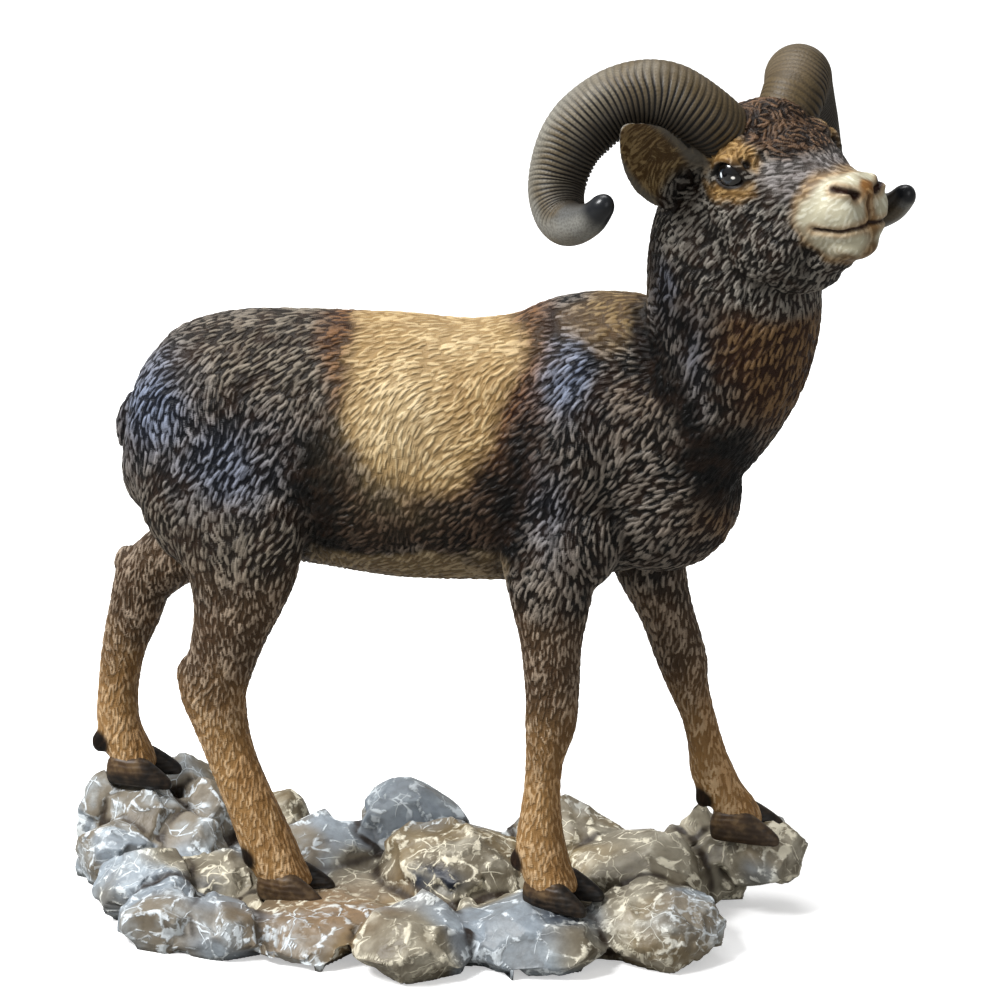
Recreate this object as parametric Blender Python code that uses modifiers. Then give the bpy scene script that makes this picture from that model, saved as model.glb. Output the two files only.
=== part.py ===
"""A cast resin mouflon ram walking over a base of boulders, modelled as the one piece that it is.

The frame: +X is the way the body faces, +Y is its left, +Z is up, and the origin lies on the flat
underside of the boulders. Sizes are in drawn units, of which the whole figure is 139.3 tall, and
every shape is made in metres.
"""

import math
import random

import bmesh
import bpy
from mathutils import Matrix, Vector

# The height of the whole figure in metres, and in the units of the tables.
FIGURE_HEIGHT = 0.1393
DRAWN_HEIGHT = 139.3
UNIT = FIGURE_HEIGHT / DRAWN_HEIGHT

# The body.
HAIR_VOXEL = 0.45
HAIR_SMOOTHING = 14
BODY_FACES = 4300
EGG_SHARE = 0.12
TAIL_ROOT = (-47.2, 0.0, 80.0)
TAIL_LENGTH = 9.0
TAIL_RADIUS = 2.0

# The head, whose own frame has its origin midway between the eyes.
HEAD_CENTRE = (53.0, -8.0, 124.2)
HEAD_YAW = -35.0
HEAD_PITCH = 6.0
HEAD_ROLL = 3.0
SKULL_EGG = -0.04
EYE_CENTRE = (-0.9, 8.2, 0.3)
EYE_RADIUS = 2.6
LID_RADIUS = 0.75
MOUTH_RADIUS = 0.48
CLEFT_RADIUS = 0.36
EAR_ROOT = (-10.6, 8.6, -4.4)
EAR_TIPS = {-1: (-7.2, -22.6, 9.0), 1: (-12.5, 17.0, 7.0)}
EAR_FACING = (0.73, 0.61, 0.31)
EAR_HALF_WIDTH = 5.0
EAR_THICKNESS = 1.3
EAR_CUP = 2.5
EAR_ROWS = 10

# The horns, in the head's frame. Half width is across the curl and half height is in its plane.
HORN_WIDTHS = (4.3, 4.9, 4.5, 3.4, 1.6)
HORN_HEIGHTS = (4.0, 4.9, 5.0, 3.7, 1.5)
HORN_KEEL = (0.766, 0.643, 0.0)
HORN_SAG = 0.51
RIDGE_COUNT = 31
RIDGE_DEPTH = 0.4
RIDGED_SHARE = 0.84
HORN_SIDES = 9
HORN_TIP_ROWS = 3

# The feet.
HOOF_LENGTH = 9.2
HOOF_HEIGHT = 4.4
TOE_HALF_WIDTH = 1.9
TOE_SPLAY = 8.0
TOE_GAP = 0.7
HOOF_SINK = 0.9
DEWCLAW_RADII = (1.35, 1.1, 1.9)
DEWCLAW_RISE = 5.9
DEWCLAW_BACK = 3.4
DEWCLAW_SPREAD = 1.7

# The boulders.
FACETS = 34
BOULDER_ROUGHNESS = 0.14
BOULDER_SINK = 0.38
SLAB_CENTRE = (-6.0, 2.0, 0.0)
SLAB_RADII = (50.0, 20.0, 5.2)

# Rounded masses over the trunk: centre, half sizes, and tilt about Y in degrees. A mass that lies
# off the middle comes on both sides.
MUSCLES = {
    "haunch": ((-32.4, 6.6, 71.0), (13.8, 7.6, 17.0), 8.0),
    "shoulder": ((20.5, 7.6, 77.0), (9.0, 6.2, 15.5), 20.0),
    "upper_arm": ((22.0, 7.8, 65.5), (8.4, 5.6, 8.6), 0.0),
    "brisket": ((33.5, 0.0, 72.0), (13.2, 9.8, 13.0), 0.0),
    "sheath": ((-15.0, 0.0, 57.6), (3.6, 1.7, 1.9), 0.0),
}

# The points of the hocks, one on each hind leg.
HOCKS = {
    "near_hock": ((-36.8, -9.6, 39.6), (2.4, 2.0, 3.2), 20.0),
    "far_hock": ((-53.8, 9.2, 49.6), (2.2, 2.0, 3.0), 10.0),
}

# Rounded masses of the head, in its own frame, in the same way.
HEAD_MASSES = {
    "forelock": ((-3.8, 0.0, 5.2), (6.2, 7.4, 4.0), 0.0),
    "brow": ((-2.4, 6.0, 2.9), (5.8, 3.8, 2.8), 0.0),
    "temple": ((-9.8, 6.4, 2.8), (4.8, 3.8, 5.2), 0.0),
    "cheek": ((0.2, 5.8, -9.6), (8.2, 4.4, 6.6), 0.0),
    "jaw": ((5.4, 0.0, -12.4), (7.2, 4.6, 3.3), 0.0),
    "throat": ((1.6, 0.0, -14.6), (7.2, 6.2, 4.2), 0.0),
    "chin": ((12.0, 0.0, -10.3), (4.9, 3.6, 2.7), 0.0),
    "nose": ((13.8, 0.0, -3.0), (3.4, 3.3, 2.2), 0.0),
    "wing": ((14.4, 3.1, -2.3), (2.6, 1.7, 1.4), 12.0),
    "lip": ((12.8, 2.8, -5.3), (4.0, 2.8, 2.9), 0.0),
}

# Place along the trunk, height of its middle, half width, half height.
TRUNK = [
    (-49.0, 72.6, 4.5, 6.5),
    (-46.0, 72.4, 9.2, 11.6),
    (-39.6, 73.4, 12.0, 16.6),
    (-31.5, 75.2, 12.8, 19.2),
    (-20.0, 75.6, 12.4, 20.0),
    (-6.0, 75.3, 13.8, 20.6),
    (6.0, 75.6, 14.0, 20.2),
    (17.0, 77.2, 13.0, 20.8),
    (26.0, 80.0, 11.6, 21.6),
    (33.0, 79.8, 10.8, 19.8),
    (40.4, 75.0, 9.6, 13.0),
    (45.4, 72.6, 5.5, 7.0),
]

# Middle of the neck, then half depth from nape to throat, and half width.
NECK = [
    (32.0, 0.0, 80.0, 15.0, 9.5),
    (40.0, -0.8, 86.0, 12.2, 11.4),
    (44.0, -1.6, 93.5, 12.4, 12.0),
    (45.2, -2.2, 101.0, 12.9, 11.6),
    (45.0, -3.2, 108.0, 12.6, 10.7),
    (45.0, -4.4, 114.5, 11.2, 9.6),
    (46.2, -5.2, 121.0, 8.0, 7.5),
]

# In the head's frame: place forwards, height of the middle, half width, half height.
SKULL = [
    (-14.5, -2.8, 5.5, 7.5),
    (-9.0, -3.8, 9.6, 11.2),
    (-2.0, -5.0, 10.7, 12.4),
    (4.0, -5.4, 9.2, 10.4),
    (8.6, -5.6, 6.6, 7.4),
    (12.4, -5.6, 5.2, 5.7),
    (15.0, -5.4, 4.8, 5.2),
    (16.6, -5.2, 3.4, 3.8),
]

# The line of the mouth from its right corner to the middle of the lips.
MOUTH = [
    (10.8, -5.9, -7.7),
    (14.3, -4.9, -8.2),
    (16.3, -3.4, -7.6),
    (17.0, 0.0, -7.2),
]

# The right nostril from its outer corner inwards, with the radius of the groove at each place.
NOSTRIL = [
    (13.6, -4.9, -1.3, 0.4),
    (14.9, -4.4, -1.7, 0.9),
    (16.1, -3.2, -2.1, 1.15),
    (16.8, -2.0, -2.9, 0.6),
]

# The cleft from the nose down to the upper lip.
PHILTRUM = [
    (16.8, 0.0, -3.4),
    (16.8, 0.0, -5.2),
    (16.8, 0.0, -7.0),
]

# The upper lid of the right eye from its back corner to its front one, and the lower lid.
UPPER_LID = [
    (-4.4, -9.5, -0.3),
    (-2.6, -10.0, 1.9),
    (-0.2, -10.2, 2.5),
    (1.5, -9.5, 1.1),
    (2.3, -8.6, -1.2),
]
LOWER_LID = [
    (-4.4, -9.5, -0.3),
    (-2.2, -9.9, -1.6),
    (0.4, -9.7, -1.9),
    (2.3, -8.6, -1.2),
]

# Middle of the right horn, from its root in the skull to its tip.
HORN = [
    (-4.8, -2.6, 1.6),
    (-5.6, -8.3, 7.6),
    (-9.4, -13.2, 11.7),
    (-14.0, -18.0, 11.2),
    (-18.0, -22.8, 6.8),
    (-19.2, -25.8, 0.4),
    (-15.6, -28.0, -3.8),
    (-9.0, -29.0, -2.8),
    (-4.4, -29.1, 0.6),
]

# Middle of the leg, then half depth from front to back, and half width.
LEGS = {
    "near_fore": [
        (18.6, -6.0, 77.0, 7.0, 3.6),
        (19.0, -7.8, 68.0, 8.2, 5.0),
        (19.5, -8.8, 60.0, 7.2, 4.9),
        (19.7, -9.0, 54.0, 5.9, 4.3),
        (19.8, -9.0, 49.0, 4.8, 3.8),
        (20.0, -9.0, 40.5, 4.2, 3.5),
        (19.7, -9.0, 36.0, 4.0, 3.3),
        (18.9, -9.0, 31.0, 3.05, 2.8),
        (18.5, -9.0, 26.0, 2.9, 2.7),
        (18.3, -9.0, 21.5, 3.3, 3.0),
        (18.3, -9.1, 17.0, 3.9, 3.5),
        (19.4, -9.4, 12.8, 3.9, 3.8),
        (20.8, -9.7, 10.4, 3.6, 3.9),
        (22.4, -10.1, 8.6, 2.6, 3.4),
    ],
    "far_fore": [
        (27.0, 6.0, 76.0, 6.5, 3.4),
        (28.0, 7.8, 67.0, 7.2, 4.6),
        (30.6, 8.6, 57.0, 5.8, 4.3),
        (33.1, 9.4, 49.4, 4.4, 3.6),
        (35.6, 9.8, 41.8, 4.1, 3.4),
        (36.6, 10.2, 37.3, 3.3, 3.0),
        (38.1, 10.6, 32.6, 2.75, 2.7),
        (39.3, 11.0, 27.5, 2.9, 2.7),
        (40.4, 11.4, 22.8, 3.5, 3.1),
        (42.5, 11.8, 19.3, 3.1, 3.1),
        (44.1, 12.1, 16.9, 3.3, 3.4),
        (45.5, 12.3, 15.0, 2.9, 3.7),
        (46.5, 12.4, 13.6, 2.1, 3.3),
    ],
    "near_hind": [
        (-31.0, -6.0, 77.0, 10.0, 4.4),
        (-30.0, -8.2, 67.0, 12.0, 6.0),
        (-28.6, -9.4, 58.5, 9.9, 5.6),
        (-28.9, -9.9, 53.0, 7.7, 4.9),
        (-30.2, -9.9, 47.5, 6.1, 4.3),
        (-32.0, -9.7, 41.5, 5.4, 3.8),
        (-33.4, -9.6, 37.4, 5.6, 3.6),
        (-32.5, -9.4, 32.5, 4.7, 3.4),
        (-31.2, -9.2, 27.5, 4.1, 3.1),
        (-29.0, -9.1, 21.5, 4.0, 3.1),
        (-26.8, -9.0, 16.1, 4.2, 3.4),
        (-24.9, -9.0, 11.5, 4.4, 3.8),
        (-23.2, -9.0, 8.4, 4.0, 3.9),
        (-21.2, -9.0, 6.2, 3.2, 3.8),
        (-19.6, -9.1, 4.8, 2.2, 3.2),
    ],
    "far_hind": [
        (-30.5, 6.0, 75.0, 9.5, 4.4),
        (-31.0, 8.0, 66.0, 11.0, 6.0),
        (-36.0, 8.8, 60.0, 8.2, 5.2),
        (-43.5, 9.2, 53.6, 5.8, 4.4),
        (-50.4, 9.2, 47.6, 5.0, 3.8),
        (-52.6, 9.0, 41.5, 4.4, 3.5),
        (-54.6, 9.0, 35.5, 3.7, 3.1),
        (-55.7, 9.0, 29.0, 3.4, 2.9),
        (-56.0, 9.0, 23.5, 3.6, 3.0),
        (-55.2, 9.0, 20.0, 3.7, 3.3),
        (-54.0, 9.1, 17.6, 3.6, 3.5),
        (-52.8, 9.2, 15.5, 3.2, 3.7),
        (-51.8, 9.3, 14.0, 2.3, 3.3),
    ],
}

# Heel on the ground, height of the stone there, and the way the foot points in degrees.
FEET = {
    "near_fore": (18.6, -8.9, 8.4, -10.0),
    "far_fore": (42.4, 12.2, 13.3, 6.0),
    "near_hind": (-24.2, -9.0, 4.6, 2.0),
    "far_hind": (-55.4, 9.2, 13.6, 6.0),
}

# Along a toe: share of its length, then of its half width and height. Round it: the same for a ring.
TOE_SECTIONS = [
    (-0.22, 0.55, 0.80),
    (0.0, 0.95, 1.05),
    (0.35, 1.0, 1.05),
    (0.62, 0.92, 0.78),
    (0.86, 0.66, 0.48),
    (1.0, 0.26, 0.26),
]
TOE_OUTLINE = [
    (-1.0, 0.0),
    (1.0, 0.0),
    (1.05, 0.35),
    (0.80, 0.78),
    (0.30, 1.0),
    (-0.30, 1.0),
    (-0.80, 0.78),
    (-1.05, 0.35),
]

# Middle of each boulder's foot, its half length, half width, height, and turn in degrees.
BOULDERS = [
    (-58.5, 8.0, 4.2, 5.0, 14.5, 10.0),
    (-51.5, 7.5, 8.2, 9.0, 13.2, 20.0),
    (-52.8, -0.8, 8.0, 6.8, 10.5, -15.0),
    (-49.0, 20.0, 6.5, 6.5, 13.5, 0.0),
    (-43.0, 13.5, 6.0, 7.0, 12.5, 40.0),
    (-42.0, 3.5, 6.5, 6.0, 9.8, 10.0),
    (-43.8, -11.8, 8.6, 6.8, 9.8, 25.0),
    (-37.6, -20.8, 8.0, 8.0, 8.8, -10.0),
    (-28.4, -21.6, 7.0, 7.4, 8.2, 15.0),
    (-33.5, -6.0, 7.5, 7.0, 8.6, 0.0),
    (-16.4, -14.0, 13.2, 14.2, 6.2, 8.0),
    (-22.5, 9.0, 10.0, 9.0, 9.0, 0.0),
    (-9.6, 17.0, 10.0, 8.5, 15.0, 12.0),
    (-33.0, 17.0, 7.0, 7.5, 9.0, 0.0),
    (1.6, -19.6, 9.2, 10.6, 9.2, 0.0),
    (1.5, 4.0, 14.0, 12.4, 12.6, -8.0),
    (17.5, -11.8, 13.4, 11.4, 8.6, -12.0),
    (35.6, -6.0, 10.8, 9.8, 10.6, 18.0),
    (17.0, 15.5, 11.0, 8.0, 13.2, 0.0),
    (29.0, 8.5, 13.4, 11.0, 13.0, 14.0),
    (37.0, 17.5, 4.0, 3.6, 16.2, 35.0),
    (39.8, 15.0, 5.8, 5.4, 12.5, 0.0),
    (-7.6, -15.4, 6.0, 8.0, 6.0, 20.0),
    (9.8, -12.6, 6.4, 9.0, 7.4, -10.0),
]

# Stones that overhang: the middle, its height too, then half length, half width, half height and turn.
PERCHED = [
    (47.8, 15.0, 8.8, 7.2, 7.2, 5.4, 10.0),
]


def scaled(*numbers):
    """Drawn units to metres."""
    return Vector(numbers) * UNIT


def new_object(name, shape, collection):
    """Links a finished bmesh into a collection as an object."""
    bmesh.ops.recalc_face_normals(shape, faces=shape.faces)
    data = bpy.data.meshes.new(name)
    shape.to_mesh(data)
    shape.free()
    made = bpy.data.objects.new(name, data)
    collection.objects.link(made)
    return made


def ring_loft(name, rings, collection, frame=Matrix.Identity(4)):
    """A closed body through rings of equal point counts in drawn units, capped at both ends."""
    shape = bmesh.new()
    rows = [[shape.verts.new(frame @ (Vector(point) * UNIT)) for point in ring] for ring in rings]
    for row, following in zip(rows, rows[1:]):
        for i in range(len(row)):
            j = (i + 1) % len(row)
            shape.faces.new((row[i], row[j], following[j], following[i]))
    shape.faces.new(rows[0])
    shape.faces.new(list(reversed(rows[-1])))
    return new_object(name, shape, collection)


def blend(a, b, c, d, t):
    """The smooth curve between b and c at share t, with a and d as the points beyond."""
    square = 2 * a - 5 * b + 4 * c - d
    cube = 3 * b - a - 3 * c + d
    return 0.5 * (2 * b + (c - a) * t + square * t**2 + cube * t**3)


def through(stations, steps):
    """Points on a smooth curve through the stations, for every number that a station holds."""
    ends = [stations[0], *stations, stations[-1]]
    made = []
    for four in zip(ends, ends[1:], ends[2:], ends[3:]):
        for step in range(steps):
            made.append(tuple(blend(a, b, c, d, step / steps) for a, b, c, d in zip(*four)))
    made.append(tuple(stations[-1]))
    return made


def limb(name, stations, collection, across=(0, 1, 0), sides=20, steps=4, egg=0.0, frame=Matrix.Identity(4)):
    """A loft along x, y, z through ovals: half size square to across, then half size along it."""
    rows = through(stations, steps)
    middles = [Vector(row[:3]) for row in rows]
    across = Vector(across)
    rings = []
    for k, row in enumerate(rows):
        ahead = middles[min(k + 1, len(rows) - 1)] - middles[max(k - 1, 0)]
        ahead.normalize()
        side = (across - ahead * across.dot(ahead)).normalized()
        other = side.cross(ahead).normalized()
        ring = []
        for i in range(sides):
            angle = math.tau * i / sides
            wide = row[4] * (1 - egg * math.sin(angle)) * math.cos(angle)
            ring.append(middles[k] + side * wide + other * row[3] * math.sin(angle))
        rings.append(ring)
    return ring_loft(name, rings, collection, frame)


def ellipsoid(name, centre, radii, collection, tilt=0.0, frame=Matrix.Identity(4), sides=20):
    """A muscle or other rounded mass, with its tilt about Y in degrees."""
    shape = bmesh.new()
    bmesh.ops.create_uvsphere(shape, u_segments=sides, v_segments=sides * 2 // 3, radius=1.0)
    rotation = Matrix.Rotation(math.radians(tilt), 4, "Y")
    size = Matrix.Diagonal((*scaled(*radii), 1.0))
    place = Matrix.Translation(scaled(*centre))
    bmesh.ops.transform(shape, matrix=frame @ place @ rotation @ size, verts=shape.verts)
    return new_object(name, shape, collection)


def masses(table, collection, frame=Matrix.Identity(4)):
    """The rounded masses of a table, those off the middle on both sides."""
    made = []
    for name, ((x, y, z), radii, tilt) in table.items():
        for side in (-1, 1) if y else (1,):
            made.append(ellipsoid(name, (x, y * side, z), radii, collection, tilt, frame))
    return made


def evaluated_copy(source, name, collection):
    """The object with its modifiers applied, as a new object."""
    graph = bpy.context.evaluated_depsgraph_get()
    data = bpy.data.meshes.new_from_object(source.evaluated_get(graph))
    data.transform(source.matrix_world)
    made = bpy.data.objects.new(name, data)
    collection.objects.link(made)
    return made


def discard(*objects):
    for thing in objects:
        bpy.data.objects.remove(thing)


def joined(name, pieces, collection):
    """One object that holds the meshes of several, still as separate shells."""
    shape = bmesh.new()
    for piece in pieces:
        shape.from_mesh(piece.data)
    discard(*pieces)
    return new_object(name, shape, collection)


def fused(name, pieces, voxel, smoothing, collection):
    """Overlapping shells melted into one skin, with their creases softened."""
    rough = joined(name + "_rough", pieces, collection)
    remesh = rough.modifiers.new("melt", "REMESH")
    remesh.mode = "VOXEL"
    remesh.voxel_size = voxel * UNIT
    soften = rough.modifiers.new("soften", "SMOOTH")
    soften.factor = 0.5
    soften.iterations = smoothing
    made = evaluated_copy(rough, name, collection)
    discard(rough)
    return made


def thinned(source, faces, collection):
    """Fewer faces, kept where the skin curves most."""
    triangles = sum(len(face.vertices) - 2 for face in source.data.polygons)
    decimate = source.modifiers.new("thin", "DECIMATE")
    decimate.ratio = faces / triangles
    decimate.use_collapse_triangulate = True
    made = evaluated_copy(source, source.name + "_thinned", collection)
    discard(source)
    return made


def united(target, others, operation="UNION"):
    """Boolean joins or cuts of closed shells, all at once."""
    group = bpy.data.collections.new(target.name + "_" + operation.lower())
    for other in others:
        group.objects.link(other)
    boolean = target.modifiers.new(operation.lower(), "BOOLEAN")
    boolean.operation = operation
    boolean.solver = "EXACT"
    boolean.operand_type = "COLLECTION"
    boolean.collection = group
    made = evaluated_copy(target, target.name, bpy.context.scene.collection)
    discard(target, *others)
    bpy.data.collections.remove(group)
    return made


def head_frame():
    """The matrix that takes the head's frame, with +X to the nose, to the object's."""
    turn = Matrix.Rotation(math.radians(HEAD_YAW), 4, "Z")
    turn @= Matrix.Rotation(math.radians(-HEAD_PITCH), 4, "Y")
    turn @= Matrix.Rotation(math.radians(HEAD_ROLL), 4, "X")
    return Matrix.Translation(scaled(*HEAD_CENTRE)) @ turn


def trunk(shop):
    """Ribs, loins, rump, neck and tail, with the muscles over them."""
    rows = [(x, 0.0, z, high, wide) for x, z, wide, high in TRUNK]
    root = Vector(TAIL_ROOT)
    middle = root + Vector((-0.26, 0.0, -0.45)) * TAIL_LENGTH
    tip = root + Vector((-0.22, 0.0, -0.90)) * TAIL_LENGTH
    tail = [
        (*root, TAIL_RADIUS, TAIL_RADIUS),
        (*middle, TAIL_RADIUS, TAIL_RADIUS),
        (*tip, TAIL_RADIUS, TAIL_RADIUS * 0.8),
    ]
    parts = masses(MUSCLES, shop)
    parts.append(limb("ribs", rows, shop, sides=28, egg=EGG_SHARE))
    parts.append(limb("neck", NECK, shop, sides=24))
    parts.append(limb("tail", tail, shop, sides=10))
    return parts


def legs(shop):
    """Four legs with their dewclaws, and the points of the hocks."""
    parts = [ellipsoid(name, centre, radii, shop, tilt) for name, (centre, radii, tilt) in HOCKS.items()]
    for name, stations in LEGS.items():
        parts.append(limb(name, stations, shop, sides=16))
        x, y, ground, heading = FEET[name]
        back = Vector((-math.cos(math.radians(heading)), -math.sin(math.radians(heading)), 0))
        side = Vector((-back.y, back.x, 0))
        middle = Vector((x, y, ground + DEWCLAW_RISE)) + back * DEWCLAW_BACK
        for way in (-1, 1):
            parts.append(ellipsoid("dewclaw", middle + side * DEWCLAW_SPREAD * way, DEWCLAW_RADII, shop))
    return parts


def ear(side, frame, shop):
    """A leaf-shaped cup that opens forwards and outwards, with its back against the horn."""
    root = Vector((EAR_ROOT[0], EAR_ROOT[1] * side, EAR_ROOT[2]))
    tip = Vector(EAR_TIPS[side])
    along = (tip - root).normalized()
    facing = Vector((EAR_FACING[0], EAR_FACING[1] * side, EAR_FACING[2]))
    facing = (facing - along * facing.dot(along)).normalized()
    across = facing.cross(along)
    half = 4
    rings = []
    for row in range(EAR_ROWS + 1):
        s = row / EAR_ROWS
        width = EAR_HALF_WIDTH * (0.6 + 0.4 * math.sin(math.pi * s**0.9)) * (1 - s**6) + 0.9 * s**3
        cup = EAR_CUP * width / EAR_HALF_WIDTH
        middle = root.lerp(tip, s)
        back, front = [], []
        for i in range(half + 1):
            q = -1 + 2 * i / half
            sheet = middle + across * width * q - facing * cup * (1 - q * q)
            wall = EAR_THICKNESS * (1 - 0.5 * q * q) * (1 - 0.35 * s)
            back.append(sheet - facing * wall / 2)
            front.append(sheet + facing * wall / 2)
        rings.append(back + front[::-1])
    return ring_loft("ear", rings, shop, frame)


def eye(side, frame, shop):
    place = (EYE_CENTRE[0], EYE_CENTRE[1] * side, EYE_CENTRE[2])
    return ellipsoid("eye", place, (EYE_RADIUS,) * 3, shop, frame=frame, sides=12)


def head(frame, shop):
    """Skull, cheeks, muzzle, lids and ears, each placed in the head's frame."""
    rows = [(x, 0.0, z, high, wide) for x, z, wide, high in SKULL]
    parts = masses(HEAD_MASSES, shop, frame)
    parts.append(limb("skull", rows, shop, sides=24, egg=SKULL_EGG, frame=frame))
    for side in (-1, 1):
        parts.append(ear(side, frame, shop))
        for name, line in (("upper_lid", UPPER_LID), ("lower_lid", LOWER_LID)):
            rows = [(x, -y * side, z, LID_RADIUS, LID_RADIUS) for x, y, z in line]
            parts.append(limb(name, rows, shop, sides=8, frame=frame))
    return parts


def groove(name, stations, skin, frame, shop, across=(0, 0, 1)):
    """A thin round cutter that follows the skin under a line of places and radii in the head's frame."""
    rows = []
    for x, y, z, radius in stations:
        _, place, _, _ = skin.closest_point_on_mesh(frame @ scaled(x, y, z))
        rows.append((*(place / UNIT), radius, radius))
    return limb(name, rows, shop, across, sides=6, steps=1)


def face_cutters(skin, frame, shop):
    """Grooves for the mouth, the nostrils and the cleft of the upper lip."""
    right = through([(*point, MOUTH_RADIUS) for point in MOUTH], 3)
    left = [(x, -y, z, radius) for x, y, z, radius in right[-2::-1]]
    cleft = [(*point, CLEFT_RADIUS) for point in PHILTRUM]
    cutters = [
        groove("mouth", right + left, skin, frame, shop),
        groove("philtrum", cleft, skin, frame, shop, (0, 1, 0)),
    ]
    for side in (-1, 1):
        line = [(x, -y * side, z, radius) for x, y, z, radius in NOSTRIL]
        cutters.append(groove("nostril", line, skin, frame, shop))
    return cutters


def even_path(points, count):
    """Points at equal distances along a polyline."""
    lengths = [0.0]
    for before, after in zip(points, points[1:]):
        lengths.append(lengths[-1] + (after - before).length)
    made = []
    k = 0
    for step in range(count + 1):
        goal = lengths[-1] * step / count
        while k < len(points) - 2 and lengths[k + 1] < goal:
            k += 1
        share = (goal - lengths[k]) / (lengths[k + 1] - lengths[k])
        made.append(points[k].lerp(points[k + 1], min(1.0, share)))
    return made


def between(values, s):
    """The value at share s along a list of evenly spaced ones."""
    place = s * (len(values) - 1)
    k = min(int(place), len(values) - 2)
    return values[k] + (values[k + 1] - values[k]) * (place - k)


def horn(side, frame, shop):
    """One ringed horn with a crest at each growth ring. The left one sags as it goes outwards."""
    path = [Vector(point) for point in through(HORN, 8)]
    if side > 0:
        start = HORN[1][1]
        path = [Vector((p.x, -p.y, p.z - HORN_SAG * max(0.0, start - p.y))) for p in path]
    count = round(2 * RIDGE_COUNT / RIDGED_SHARE)
    middles = even_path(path, count)
    sideways = Vector((HORN_KEEL[0], HORN_KEEL[1] * side, HORN_KEEL[2]))
    rings = []
    for k, middle in enumerate(middles):
        s = k / count
        to_tip = k - count + HORN_TIP_ROWS
        ahead = (middles[min(k + 1, count)] - middles[max(k - 1, 0)]).normalized()
        keel = (sideways - ahead * sideways.dot(ahead)).normalized()
        other = keel.cross(ahead)
        wide, high = between(HORN_WIDTHS, s), between(HORN_HEIGHTS, s)
        if s < RIDGED_SHARE:
            recess = RIDGE_DEPTH * (1 - 0.5 * s) * (k % 2)
            wide, high = wide - recess, high - recess
        if to_tip > 0:
            close = math.sqrt(1 - (to_tip / (HORN_TIP_ROWS + 0.3)) ** 2)
            wide, high = wide * close, high * close
        elif s >= RIDGED_SHARE and k % 2:
            continue
        ring = []
        for i in range(HORN_SIDES):
            angle = math.tau * i / HORN_SIDES
            ring.append(middle + keel * wide * math.cos(angle) + other * high * math.sin(angle))
        rings.append(ring)
    return ring_loft("horn", rings, shop, frame)


def hoof(name, shop):
    """Two toes of a cloven hoof, each a wedge that narrows to its tip."""
    x, y, ground, heading = FEET[name]
    toes = []
    for side in (-1, 1):
        angle = math.radians(heading + TOE_SPLAY * side)
        ahead = Vector((math.cos(angle), math.sin(angle), 0))
        across = Vector((-math.sin(angle), math.cos(angle), 0))
        heel = Vector((x, y, ground - HOOF_SINK)) + across * side * (TOE_HALF_WIDTH + TOE_GAP / 2)
        rings = []
        for along, wide, high in TOE_SECTIONS:
            middle = heel + ahead * HOOF_LENGTH * along
            half, top = TOE_HALF_WIDTH * wide, (HOOF_HEIGHT + HOOF_SINK) * high
            rings.append([middle + across * half * u + Vector((0, 0, top * v)) for u, v in TOE_OUTLINE])
        toes.append(ring_loft("toe", rings, shop))
    return toes


def boulder(index, row, shop):
    """A chiselled stone: the hull of points scattered over a squashed ball."""
    x, y, z, long, wide, high, turn = row
    chance = random.Random(40 + index)
    shape = bmesh.new()
    for k in range(FACETS):
        height = 1 - 2 * (k + 0.5) / FACETS
        angle = k * math.pi * (3 - math.sqrt(5)) + chance.uniform(-0.25, 0.25)
        ring = math.sqrt(1 - height * height)
        reach = 1 + chance.uniform(-1, 1) * BOULDER_ROUGHNESS
        point = Vector((ring * math.cos(angle), ring * math.sin(angle), height)) * reach
        shape.verts.new(scaled(point.x * long, point.y * wide, point.z * high))
    hull = bmesh.ops.convex_hull(shape, input=shape.verts)
    bmesh.ops.delete(shape, geom=list({*hull["geom_interior"], *hull["geom_unused"]}), context="VERTS")
    place = Matrix.Translation(scaled(x, y, z)) @ Matrix.Rotation(math.radians(turn), 4, "Z")
    bmesh.ops.transform(shape, matrix=place, verts=shape.verts)
    return new_object("boulder", shape, shop)


def sunk_rows():
    """The boulders with their middle heights, each sunk by the same share of its height."""
    made = []
    for x, y, long, wide, top, turn in BOULDERS:
        made.append((x, y, top * BOULDER_SINK, long, wide, top * (1 - BOULDER_SINK), turn))
    return made


def base(shop):
    """Boulders grown together round a low slab, cut off flat underneath."""
    stones = [boulder(index, row, shop) for index, row in enumerate(sunk_rows() + PERCHED)]
    stones.append(ellipsoid("slab", SLAB_CENTRE, SLAB_RADII, shop))
    first, *rest = stones
    whole = united(first, rest)
    below = bmesh.new()
    bmesh.ops.create_cube(below, size=3 * FIGURE_HEIGHT)
    bmesh.ops.translate(below, vec=(0, 0, -1.5 * FIGURE_HEIGHT), verts=below.verts)
    return united(whole, [new_object("underground", below, shop)], "DIFFERENCE")


def resin():
    """Painted resin, here in its overall dark brown."""
    paint = bpy.data.materials.new("painted_resin")
    paint.use_nodes = True
    surface = paint.node_tree.nodes["Principled BSDF"]
    surface.inputs["Base Color"].default_value = (0.10, 0.075, 0.055, 1.0)
    surface.inputs["Roughness"].default_value = 0.55
    surface.inputs["Metallic"].default_value = 0.0
    return paint


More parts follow.
